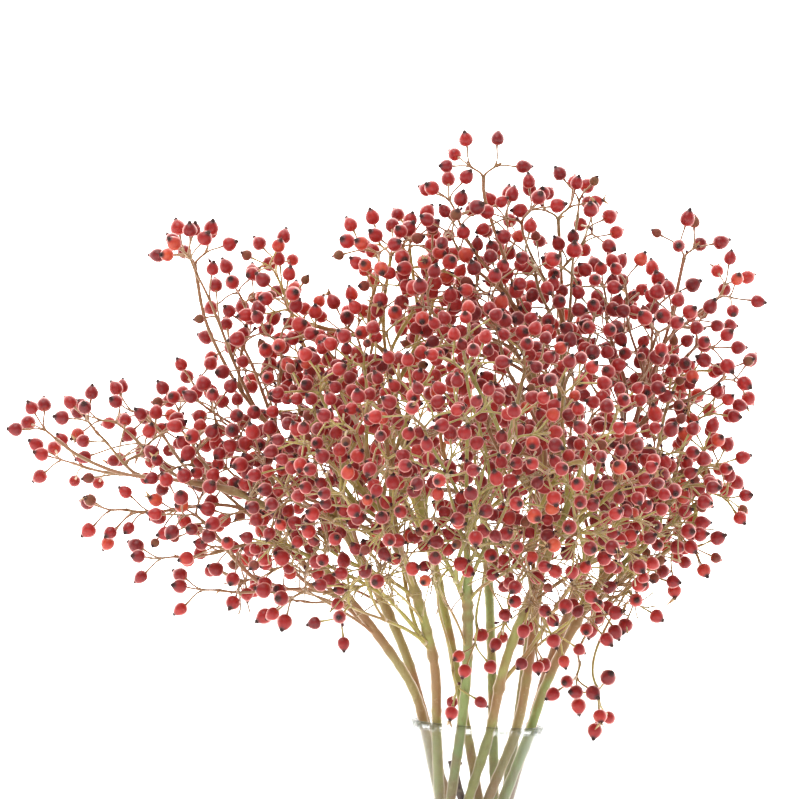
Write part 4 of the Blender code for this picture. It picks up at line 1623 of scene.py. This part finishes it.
@dataclass
class HipSkins:
    """The hips of one sprig, as one surface.

    The outline's levels, widest place and shoulder are shares of a hip's length or width.  The
    length is in radii, a slim hip is longer by the stretch, and the limits and spreads that follow
    hold what each hip draws for itself.
    """

    ripe: float
    size: float
    rng: np.random.Generator

    sides: int = 10
    levels: tuple[float, ...] = (0.0, 0.025, 0.12, 0.28, 0.46, 0.64, 0.80, 0.92, 1.0)
    widest: float = 0.44
    shoulder: float = 0.31
    roundness: float = 2.3
    taper: float = 2.1
    pole: float = 0.03

    overlap: float = 0.1 * MM
    length: float = 1.98
    slimness: Span = (0.93, 1.04)
    stretch: float = 0.9
    size_spread: float = 0.75
    ripe_spread: float = 0.13
    ripe_limits: Span = (0.34, 0.9)
    dry_share: float = 0.06
    dry_ripeness: Span = (0.0, 0.22)
    dry_shrinking: Span = (0.68, 0.85)
    orange_share: float = 0.025
    orange_ripeness: Span = (0.86, 1.0)

    def form(self) -> Form:
        """A hip turned from its outline, 1 wide in radius and 1 long.

        Below its widest place, at 0.44 of its length, it is a superellipse; above, it tapers along
        a power arch to a shoulder of a third of its width, where the calyx crown sits.

        Returns:
            The form.
        """
        v = np.array(self.levels)
        under = np.clip(self.widest - v, 0, None) / self.widest
        over = np.clip(v - self.widest, 0, None) / (1 - self.widest)
        below = (1 - under**self.roundness) ** (1 / self.roundness)
        above = self.shoulder + (1 - self.shoulder) * (1 - over**self.taper)
        radii = np.maximum(np.where(v < self.widest, below, above), self.pole)
        return Form.turned(radii, v, self.sides)

    def surface(self, hips: list[Hip]) -> tuple[Surface, list[Seat]]:
        """All the hips, each with its own width, length and ripeness.

        Args:
            hips: Where they grow.

        Returns:
            The surface, and where the calyx crowns sit.
        """
        number = len(hips)
        ways = np.array([hip.way for hip in hips])
        bases = np.array([hip.base for hip in hips]) - ways * self.overlap
        grown = np.array([hip.radius for hip in hips])
        sizes = HIP_RADIUS + self.size_spread * (grown - HIP_RADIUS)
        kinds = self.rng.random(number)
        ripeness = np.clip(self.rng.normal(self.ripe, self.ripe_spread, number), *self.ripe_limits)
        dry = kinds < self.dry_share
        ripeness = np.where(dry, self.rng.uniform(*self.dry_ripeness, number), ripeness)
        orange = kinds > 1 - self.orange_share
        ripeness = np.where(orange, self.rng.uniform(*self.orange_ripeness, number), ripeness)
        shrinking = np.where(dry, self.rng.uniform(*self.dry_shrinking, number), 1.0)
        slimness = self.rng.uniform(*self.slimness, number)
        sizes = sizes * self.size * shrinking
        widths = sizes * slimness
        lengths = sizes * self.length * (1 + self.stretch * (1 - slimness))
        turns = self.rng.uniform(0, math.tau, number)
        form = self.form()
        stamps = form.stamped(bases, ways, widths, lengths, turns)
        surface = Surface()
        surface.add_stamps(form, stamps, ripeness=ripeness[:, None], reach=form.rises[None])
        tops = bases + ways * lengths[:, None]
        return surface, [Seat(*parts) for parts in zip(tops, ways, widths)]


@dataclass
class DriedBits:
    """The dried bits of one sprig, as one surface: crowns, threads, sepals, bracts and buds.

    A crown's outline, a thread and a sepal are measured in their hip's radius, and a leaf's width
    in its length.  A share says how many places have such a bit, and a fade is its place on the
    range of dried colours.
    """

    rng: np.random.Generator
    surface: Surface = field(default_factory=Surface)

    crown_outline: tuple[Pair, ...] = (
        (0.20, -0.10), (0.29, -0.03), (0.25, 0.07), (0.26, 0.20),
        (0.17, 0.16), (0.10, 0.20), (0.07, 0.34), (0.03, 0.44),
    )
    crown_sides: int = 10
    crown_lobes: float = 0.14
    crown_height: Span = (0.75, 1.25)
    crown_tone: Span = (0.0, 0.16)
    style_from: float = 0.7
    style_fade: float = 0.3

    thread_share: float = 0.4
    thread_lean: float = 0.35
    thread_rise: float = 0.36
    thread_length: Span = (0.25, 0.6)
    thread_radii: Triple = (0.16 * MM, 0.12 * MM, 0.07 * MM)
    thread_fade: float = 0.3
    thread_sides: int = 4

    leaf_points: int = 6
    leaf_sides: int = 6
    leaf_flatness: float = 0.16
    leaf_edge: float = 0.05
    leaf_width: float = 0.17
    leaf_taper: float = 0.4
    leaf_looseness: float = 0.8
    leaf_curl: float = 0.35
    leaf_fades: Span = (-0.12, 0.15)

    sepal_share: float = 0.06
    sepal_places: int = 5
    sepal_length: Span = (0.7, 1.25)
    sepal_lean: Span = (0.5, 1.2)
    sepal_fade: float = 0.9
    bract_share: float = 0.35
    bract_length: Span = (2.0 * MM, 4.5 * MM)
    bract_aside: float = 0.7
    bract_fade: float = 0.85

    bud_share: float = 0.25
    bud_length: Span = (2.5 * MM, 5.5 * MM)
    bud_aside: float = 0.6
    bud_curl: float = 0.4
    bud_looseness: float = 0.5
    bud_stalk: float = 0.26 * MM
    pod_radius: float = 0.65 * MM
    pod_middle: float = 0.82
    pod_length: float = 0.13
    pod_tip: float = 0.4
    pod_from: float = 0.6
    pod_fade: float = 0.48
    bud_stalk_fade: float = 0.68
    bud_points: int = 8
    bud_sides: int = 6

    def crown_form(self) -> Form:
        """The dried calyx: a collar that flares to a ragged edge, a dished top and dead styles.

        Returns:
            The form, measured in the hip's largest radius.
        """
        radii, heights = np.array(self.crown_outline).T
        return Form.turned(radii, heights, self.crown_sides, self.crown_lobes)

    def gather(self, seats: list[Seat], hubs: list[tuple[Array, Array]]) -> Surface:
        """Makes all the bits.

        Args:
            seats: Where the crowns sit.
            hubs: The ends of the other branches, with their directions.

        Returns:
            The surface.
        """
        number = len(seats)
        form = self.crown_form()
        turns = self.rng.uniform(0, math.tau, number)
        tops = np.array([seat.top for seat in seats])
        ways = np.array([seat.way for seat in seats])
        widths = np.array([seat.width for seat in seats])
        heights = widths * self.rng.uniform(*self.crown_height, number)
        stamps = form.stamped(tops, ways, widths, heights, turns)
        tone = self.rng.uniform(*self.crown_tone, number)[:, None]
        styles = self.style_fade * np.clip(form.rises - self.style_from, 0, 1)[None]
        self.surface.add_stamps(form, stamps, fade=tone + styles)
        for index in np.flatnonzero(self.rng.random(number) < self.thread_share):
            self.add_thread(seats[index])
        for index in np.flatnonzero(self.rng.random(number) < self.sepal_share):
            self.add_sepals(seats[index])
        for point, way in hubs:
            if self.rng.random() < self.bract_share:
                aside = loosened(way, self.bract_aside, self.rng)
                length = self.rng.uniform(*self.bract_length)
                self.add_leaf(point, aside, length, self.bract_fade)
            if self.rng.random() < self.bud_share:
                self.add_bud(point, loosened(way, self.bud_aside, self.rng))
        return self.surface

    def add_thread(self, seat: Seat) -> None:
        """Dead styles: a thread of one to two millimetres that sticks out of the crown.

        Args:
            seat: Where the crown sits.
        """
        lean = loosened(seat.way, self.thread_lean, self.rng)
        length = self.rng.uniform(*self.thread_length)
        tip = (seat.way * self.thread_rise + lean * length) * seat.width
        line = seat.top + np.outer((0.0, 0.5, 1.0), tip)
        thread = tube(line, np.array(self.thread_radii), self.thread_sides)
        self.surface.add(*thread, fade=self.thread_fade)

    def add_leaf(self, base: Array, way: Array, length: float, fade: float) -> None:
        """A thin dry leaf that tapers to a point and curls back.

        Its middle line is a quadratic arch, and its half-width is the sine of the share along it,
        sharpened towards the tip.

        Args:
            base: Where it starts.
            way: The direction in which it starts.
            length: How long it would be without its curl.
            fade: Its place on the range of dried colours.
        """
        t = np.linspace(0, 1, self.leaf_points)
        curl = loosened(way, self.leaf_looseness, self.rng) * self.leaf_curl
        line = base + (np.outer(t, way) + np.outer(t**2, curl)) * length
        belly = np.sin(math.pi * t**0.7) * (1 - self.leaf_taper * t)
        widths = length * (self.leaf_edge + self.leaf_width * belly)
        leaf = tube(line, widths, self.leaf_sides, self.leaf_flatness)
        self.surface.add(*leaf, fade=fade + self.rng.uniform(*self.leaf_fades))

    def add_sepals(self, seat: Seat) -> None:
        """Two to five dry sepals still on the calyx.

        Args:
            seat: Where the crown sits.
        """
        first = self.rng.uniform(0, math.tau)
        for index in range(self.rng.integers(2, self.sepal_places + 1)):
            turn = first + index * math.tau / self.sepal_places
            lean = tilted(seat.way, self.rng.uniform(*self.sepal_lean), turn)
            length = self.rng.uniform(*self.sepal_length) * seat.width
            self.add_leaf(seat.top, lean, length, self.sepal_fade)

    def add_bud(self, base: Array, way: Array) -> None:
        """An unopened dead bud, a small pod on a short stalk.

        Its middle line is a quadratic arch, and its pod is a bell on the stalk's radius, narrowed
        at the last point.

        Args:
            base: Where its stalk starts.
            way: The direction in which it starts.
        """
        reach = self.rng.uniform(*self.bud_length)
        t = np.linspace(0, 1, self.bud_points)
        bend = loosened(way, self.bud_looseness, self.rng) * self.bud_curl
        line = base + (np.outer(t, way) + np.outer(t**2, bend)) * reach
        pod = bell((t - self.pod_middle) / self.pod_length)
        radii = self.bud_stalk + self.pod_radius * pod
        radii[-1] *= self.pod_tip
        fades = np.where(t > self.pod_from, self.pod_fade, self.bud_stalk_fade)
        fades = np.repeat(fades, self.bud_sides)
        self.surface.add(*tube(line, radii, self.bud_sides), fade=fades)


@dataclass
class Sprig:
    """One sprig: its stems, its hips and its dried bits, as three pieces for one node.

    The thickness of its stems comes first, then the bow of a stalk, then the bare stalks inside
    the bunch.
    """

    name: str
    cane: Branch
    bark: bpy.types.Material
    skin: bpy.types.Material
    dried: bpy.types.Material
    ripe: float
    hip_size: float
    seed: int

    stalk_radius: float = 0.48 * MM
    area_per_hip: float = 0.075 * MM**2
    cane_taper: float = 0.8 * MM
    cane_taper_top: float = 240.0 * MM
    unevenness: float = 0.05
    fork_swelling: float = 0.28
    fork_reach: float = 1.6 * MM
    base_flare: float = 0.6
    base_reach: float = 1.5
    neck_flare: float = 0.5
    neck_reach: float = 1.1 * MM

    least_steps: int = 4
    stalk_lead: float = 0.75
    stalk_looseness: float = 0.12
    stalk_leads: Pair = (0.42, 0.3)

    bare_stalks: int = 9
    bare_sides: int = 4
    bare_girths: tuple[float, ...] = (1.0, 0.85, 0.76, 0.7, 0.7, 0.95)
    bare_length: float = 15.0 * MM
    bare_stretch: Span = (0.6, 1.4)
    bare_aside: float = 0.9
    bare_turn: float = 0.5
    bare_leads: Pair = (0.35, 0.3)
    bare_tone: float = 0.4
    bare_above: float = 60.0 * MM
    bare_reach: float = 165.0 * MM
    bare_fade: float = 60.0 * MM

    stems: Surface = field(default_factory=Surface)
    hips: list[Hip] = field(default_factory=list)
    hubs: list[tuple[Array, Array]] = field(default_factory=list)

    def __post_init__(self) -> None:
        """Starts the sprig's own random draws."""
        self.rng = np.random.default_rng(self.seed)

    def build(self) -> None:
        """Builds and dresses the three pieces."""
        foot, rim = self.cane.points[:2]
        self.trace(self.cane, foot, unit(rim - foot), Rank.CANE)
        hips, seats = HipSkins(self.ripe, self.hip_size, self.rng).surface(self.hips)
        dried = DriedBits(self.rng).gather(seats, self.hubs)
        for surface, bit, finish, slot in (
            (self.stems, "stems", self.bark, "green_cane"),
            (hips, "hips", self.skin, "red_hip"),
            (dried, "dried", self.dried, "dried_brown"),
        ):
            piece = surface.kept_in_box().finished(f"{self.name}_{bit}", finish)
            place_piece(piece, self.name)

    def line_of(self, branch: Branch, start: Array, lead: Array, rank: Rank) -> Array:
        """The smooth middle line of a branch.

        A cane has its own curve.  A twig is the cubic arch of its four corners, the first two moved
        with its start.  A stalk is a cubic arch that leaves between its parent's direction and its
        own, and arrives in its own.

        Args:
            branch: The branch.
            start: Where its parent's smooth line is left.
            lead: The parent's direction there.
            rank: The branch's rank.

        Returns:
            The points of the line.
        """
        if rank is Rank.CANE:
            return branch.curve
        end = branch.points[-1]
        reach = np.linalg.norm(end - start)
        if rank is Rank.TWIG:
            corners = branch.curve.copy()
            corners[:2] += start - corners[0]
        else:
            aim = unit(end - start) + self.stalk_lead * lead
            bow = loosened(aim, self.stalk_looseness, self.rng)
            corners = arch_between(start, bow, end, branch.way(), self.stalk_leads)
        steps = max(int(round(reach / rank.value.step)), self.least_steps)
        return bezier(corners, np.linspace(0, 1, steps + 1))

    def trace(self, branch: Branch, start: Array, lead: Array, rank: Rank) -> None:
        """Draws a branch and all that it carries.

        The radius grows with the square root of the hips beyond, which fall evenly between one fork
        and the next.  It swells at each fork, at the base and, on a hip's stalk, at the neck.

        Args:
            branch: The branch.
            start: Where its parent's smooth line is left.
            lead: The parent's direction there.
            rank: The branch's rank.
        """
        line = self.line_of(branch, start, lead, rank)
        arcs = np.concatenate(([0.0], np.cumsum(np.linalg.norm(np.diff(line, axis=0), axis=1))))
        whole = branch.arcs()[-1]
        shoots = sorted(branch.shoots, key=lambda shoot: shoot[0])
        forks = np.array([0.0] + [arc for arc, _ in shoots]) * arcs[-1] / whole
        carried = np.cumsum([0] + [shoot.hips_beyond() for _, shoot in shoots])
        hips = np.interp(arcs, forks, branch.hips_beyond() - carried)
        hips = np.maximum(hips, rank.value.load)
        radii = np.sqrt(self.stalk_radius**2 + self.area_per_hip * np.maximum(hips - 1, 0))
        if rank is Rank.CANE:
            radii = radii + self.cane_taper * np.clip(1 - line[:, 2] / self.cane_taper_top, 0, 1)
        radii = np.minimum(radii, branch.most)
        knots = bell((arcs[:, None] - np.unique(forks[1:])) / self.fork_reach).sum(axis=1)
        knots = np.minimum(knots, 1.0)
        radii = radii * (1 + self.fork_swelling * knots)
        if rank is not Rank.CANE:
            radii = radii * (1 + self.base_flare * np.exp(-arcs / (self.base_reach * radii[0])))
        if branch.hip_radius:
            radii = radii * (1 + self.neck_flare * np.exp((arcs - arcs[-1]) / self.neck_reach))
        if rank in (Rank.CANE, Rank.TWIG):
            radii = radii * (1 + self.unevenness * self.rng.normal(size=len(radii)))
        sides = rank.value.sides
        girths = np.repeat(radii / MM, sides)
        self.stems.add(*tube(line, radii, sides), girth=girths, knot=np.repeat(knots, sides))
        ways = unit(np.gradient(line, axis=0))
        if branch.hip_radius:
            self.hips.append(Hip(line[-1], branch.way(), branch.hip_radius))
        elif rank is not Rank.CANE or len(shoots):
            self.hubs.append((line[-1], ways[-1]))
        self.add_bare_stalks(line, ways, rank)
        for _, shoot in shoots:
            near = int(np.argmin(np.linalg.norm(line - shoot.points[0], axis=1)))
            self.trace(shoot, line[near], ways[near], Rank.of_shoot(shoot))

    def add_bare_stalks(self, line: Array, ways: Array, rank: Rank) -> None:
        """Thin stalks that have lost their hips, along a twig or at the end of a shared stalk.

        Each is a cubic arch that leaves along the branch and turns aside.  They stand only inside
        the bunch, and fade out towards its outside.

        Args:
            line: The branch's middle line.
            ways: Its direction at each point.
            rank: The branch's rank.
        """
        low = line[-1, 2] < VASE_HEIGHT + self.bare_above
        if low or rank not in (Rank.TWIG, Rank.SHARED_STALK):
            return
        taper = self.stalk_radius * np.array(self.bare_girths)
        shares = np.linspace(0, 1, len(taper))
        depth = (self.bare_reach - np.linalg.norm(line[-1] - from_rim(HEART)[0])) / self.bare_fade
        for _ in range(self.rng.binomial(self.bare_stalks, np.clip(depth, 0, 1))):
            at = int(self.rng.integers(len(line) // 2, len(line)))
            aside = loosened(ways[at], self.bare_aside, self.rng)
            end = line[at] + aside * self.bare_length * self.rng.uniform(*self.bare_stretch)
            final = loosened(aside, self.bare_turn, self.rng)
            corners = arch_between(line[at], ways[at], end, final, self.bare_leads)
            arch = tube(bezier(corners, shares), taper, self.bare_sides)
            self.stems.add(*arch, girth=self.bare_tone, knot=np.repeat(shares, self.bare_sides))


# The cut twig and the vase -------------------------------------------------------------------


@dataclass
class CutTwig:
    """The dark cut-off twig in the vase, with the stump of a side shoot near its top."""

    finish: bpy.types.Material
    sides: int = 16
    rings: int = 60
    slimness: float = 0.93
    unevenness: float = 0.04
    stump_share: float = 0.94
    stump_girths: tuple[float, ...] = (1.5, 1.25, 1.05, 0.98, 1.0, 1.05, 1.12, 1.1, 0.95)
    cut_levels: Triple = (-0.1 * MM, 0.05 * MM, 0.12 * MM)
    cut_girths: Triple = (0.9, 0.88, 0.8)
    surface: Surface = field(default_factory=Surface)

    def build(self) -> None:
        """Builds and dresses the twig."""
        foot, rim = cane_ends(STUB_PLACE)
        share = (rim[2] - STUB_TOP_BELOW_RIM - foot[2]) / (rim[2] - foot[2])
        top = foot + share * (rim - foot)
        rng = np.random.default_rng(STUB_PLACE)
        girths = self.slimness + self.unevenness * rng.normal(size=self.rings)
        self.add_rod(np.linspace(foot, top, self.rings), STUB_RADIUS * girths)
        along = unit(top - foot)
        joint = top - along * STUMP_BELOW_TOP
        reach = unit(along + np.array(STUMP_WAY)) * STUMP_LENGTH * self.stump_share
        line = joint + np.outer(np.linspace(0, 1, len(self.stump_girths)), reach)
        self.add_rod(line, STUMP_RADIUS * np.array(self.stump_girths))
        place_piece(self.surface.finished("cut_twig_bark", self.finish), "cut_twig")

    def add_rod(self, line: Array, radii: Array) -> None:
        """A rod of bark with a pale disc on its cut end.

        Args:
            line: The rod's middle line.
            radii: Its radius at each point.
        """
        self.surface.add(*tube(line, radii, self.sides), cut=0.0)
        disc = line[-1] + np.outer(self.cut_levels, unit(line[-1] - line[-2]))
        self.surface.add(*tube(disc, radii[-1] * np.array(self.cut_girths), self.sides), cut=1.0)


@dataclass
class Vase:
    """The clear vase: a flared rim, a waist where the canes cross, and a heavy foot."""

    finish: bpy.types.Material
    sides: int = 120
    rows: int = 44
    lip_rows: int = 7
    lip_band: float = 2.6 * MM
    lip_blend: float = 1.0 * MM
    wall_from: float = 60.0 * MM
    wall_blend: float = 40.0 * MM
    foot_rows: int = 6
    edge_share: float = 0.9
    corner: float = 3.0 * MM
    pole: float = 0.2 * MM

    def glass_radius(self, height: Array) -> Array:
        """The inside: as wide as the ring of crossing canes, and a little more.

        Each cane runs straight to its place on the rim from a foot that is CANE_TURN further
        round, so at a share s of the height the ring's radius is the radius at the rim times the
        root of (1 - s) squared + s squared + 2 s (1 - s) cos CANE_TURN.

        Args:
            height: The heights above the surface.

        Returns:
            The radii.
        """
        foot = FLOOR_THICKNESS + CANE_FOOT_GAP
        share = np.clip((height - foot) / (VASE_HEIGHT - foot), 0, 1)
        spread = (1 - share) ** 2 + share**2 + 2 * share * (1 - share) * math.cos(CANE_TURN)
        return CANE_RING_RADIUS * np.sqrt(spread) + CANE_TO_GLASS

    def outline(self) -> tuple[Array, Array]:
        """The outline from the foot's middle round the rim to the floor's middle.

        The outside is the inside plus the wall plus a flare that fades with the square of the
        height over the foot.  A half circle joins them at the lip, and quarter circles round the
        foot's edge and the inside corner.

        Returns:
            The radii and the heights.
        """
        lip_base = VASE_HEIGHT - WALL / 2
        heights = np.linspace(FOOT_EDGE, lip_base, self.rows)
        flare = FOOT_RADIUS - (self.glass_radius(np.array(FOOT_EDGE)) + WALL)
        fade = np.clip(1 - (heights - FOOT_EDGE) / FOOT_FLARE_HEIGHT, 0, 1) ** 2
        outer = self.glass_radius(heights) + WALL + flare * fade
        inner_heights = np.linspace(lip_base, FLOOR_THICKNESS + self.corner, self.rows)
        inner = self.glass_radius(inner_heights)
        turn = np.linspace(0, math.pi, self.lip_rows + 2)[1:-1]
        middle = self.glass_radius(np.array(VASE_HEIGHT)) + WALL / 2
        lip = middle + WALL / 2 * np.cos(turn)
        lip_heights = lip_base + WALL / 2 * np.sin(turn)
        quarter = np.linspace(0, math.pi / 2, self.foot_rows)[:-1]
        edge = FOOT_RADIUS - FOOT_BEVEL + FOOT_BEVEL * np.sin(quarter)
        edge_heights = FOOT_EDGE * (1 - np.cos(quarter)) * self.edge_share
        corner = inner[-1] - self.corner * (1 - np.cos(quarter[1:]))
        corner_heights = FLOOR_THICKNESS + self.corner * (1 - np.sin(quarter[1:]))
        radii = (self.pole, edge, outer, lip, inner, corner, inner[-1] - self.corner, self.pole)
        levels = (0.0, edge_heights, heights, lip_heights, inner_heights, corner_heights)
        levels = (*levels, FLOOR_THICKNESS, FLOOR_THICKNESS)
        return np.hstack(radii), np.hstack(levels)

    def build(self) -> None:
        """Builds and dresses the vase."""
        form = Form.turned(*self.outline(), self.sides)
        surface = Surface()
        # Masks for the lip band and the upper wall, where the glass finish paints shade at edges
        # seen aslant.
        lip = (form.points[:, 2] - (VASE_HEIGHT - self.lip_band)) / self.lip_blend
        wall = (form.points[:, 2] - self.wall_from) / self.wall_blend
        surface.add(form.points, form.faces, lip=np.clip(lip, 0, 1), wall=np.clip(wall, 0, 1))
        place_piece(surface.finished("glass_vase", self.finish), "vase")


# The studio ----------------------------------------------------------------------------------


@dataclass
class Studio:
    """A pale floor in a bright tent that is brightest behind, a soft lamp, and the camera.

    The tent's light turns from its front strength to the one behind over a span of the backward
    part of the direction.
    """

    finish: bpy.types.Material
    floor_radius: float = 7.0
    floor_sides: int = 64
    floor_pole: float = 0.07
    floor_top: float = -0.6 * MM
    floor_bottom: float = -20.0 * MM
    distance: float = 1.5
    aim: Triple = (-0.0484, 0.0, 0.3084)
    camera_height: float = 0.25
    view_width: float = 0.3995
    roll: float = math.radians(3.4)
    sensor: float = 36.0
    light_front: float = 0.4
    light_behind: float = 4.5
    light_turn: Span = (-0.3, 0.7)
    lamp_place: Triple = (-0.5, -0.9, 1.7)
    lamp_power: float = 14.0
    lamp_size: float = 1.2
    farthest: float = 50.0

    def build(self) -> None:
        """Builds the floor, the light and the camera."""
        self.build_floor()
        self.build_tent()
        self.build_lamp()
        self.build_camera()

    def build_floor(self) -> None:
        """A flat disc just under the vase's foot."""
        levels = np.repeat((self.floor_bottom, self.floor_top), 2)
        radii = (self.floor_pole, self.floor_radius, self.floor_radius, self.floor_pole)
        form = Form.turned(np.array(radii), levels, self.floor_sides)
        surface = Surface()
        surface.add(form.points, form.faces)
        surface.finished("floor", self.finish)

    def build_tent(self) -> None:
        """White light all round, whose strength follows the direction it comes from."""
        world = bpy.data.worlds.new("light_tent")
        bpy.context.scene.world = world
        world.use_nodes = True
        graph = Graph(world.node_tree)
        way = graph.node("ShaderNodeTexCoord", output="Generated")
        backwards = graph.node("ShaderNodeSeparateXYZ", inputs={"Vector": way}, output="Y")
        strength = graph.ease(backwards, self.light_turn, (self.light_front, self.light_behind))
        background = graph.tree.nodes["Background"]
        graph.feed(background.inputs["Color"], (1.0, 1.0, 1.0))
        graph.feed(background.inputs["Strength"], strength)

    def build_lamp(self) -> None:
        """A large soft lamp above the front."""
        light = bpy.data.lights.new("soft_top", "AREA")
        light.shape = "DISK"
        light.size = self.lamp_size
        light.energy = self.lamp_power
        linked("soft_top", light).matrix_world = self.facing(self.lamp_place)

    def build_camera(self) -> None:
        """The camera, in front and a little over the rim, turned slightly on its axis."""
        data = bpy.data.cameras.new("camera")
        data.sensor_width = self.sensor
        data.lens = self.sensor * self.distance / self.view_width
        data.clip_end = self.farthest
        camera = linked("camera", data)
        place = (self.aim[0], -self.distance, self.camera_height)
        camera.matrix_world = self.facing(place) @ Matrix.Rotation(self.roll, 4, "Z")
        bpy.context.scene.camera = camera
        bpy.context.scene.view_settings.view_transform = "Standard"

    def facing(self, place: Triple) -> Matrix:
        """The turn and place of a lamp or camera that looks at the bunch.

        Args:
            place: Where it stands.

        Returns:
            The matrix.
        """
        way = Vector(self.aim) - Vector(place)
        return Matrix.Translation(place) @ way.to_track_quat("-Z", "Y").to_matrix().to_4x4()


def main() -> None:
    """Builds the studio, the vase, the cut twig and the sprigs."""
    logging.basicConfig(level=logging.INFO, format="%(message)s")
    Studio(FloorFinish().material()).build()
    Vase(GlassFinish().material()).build()
    CutTwig(DarkWoodFinish().material()).build()
    barks = {bark: bark.value.material() for bark in Bark}
    skin = HipFinish().material()
    dried = DriedFinish().material()
    canes = Growth().grow()
    LOG.info("%d hips", sum(cane.hips_beyond() for cane in canes.values()))
    for seed, (name, cane) in enumerate(canes.items()):
        plan = PLANS[name]
        Sprig(name, cane, barks[plan.bark], skin, dried, plan.ripe, plan.hip_size, seed).build()


if __name__ == "__main__":
    main()
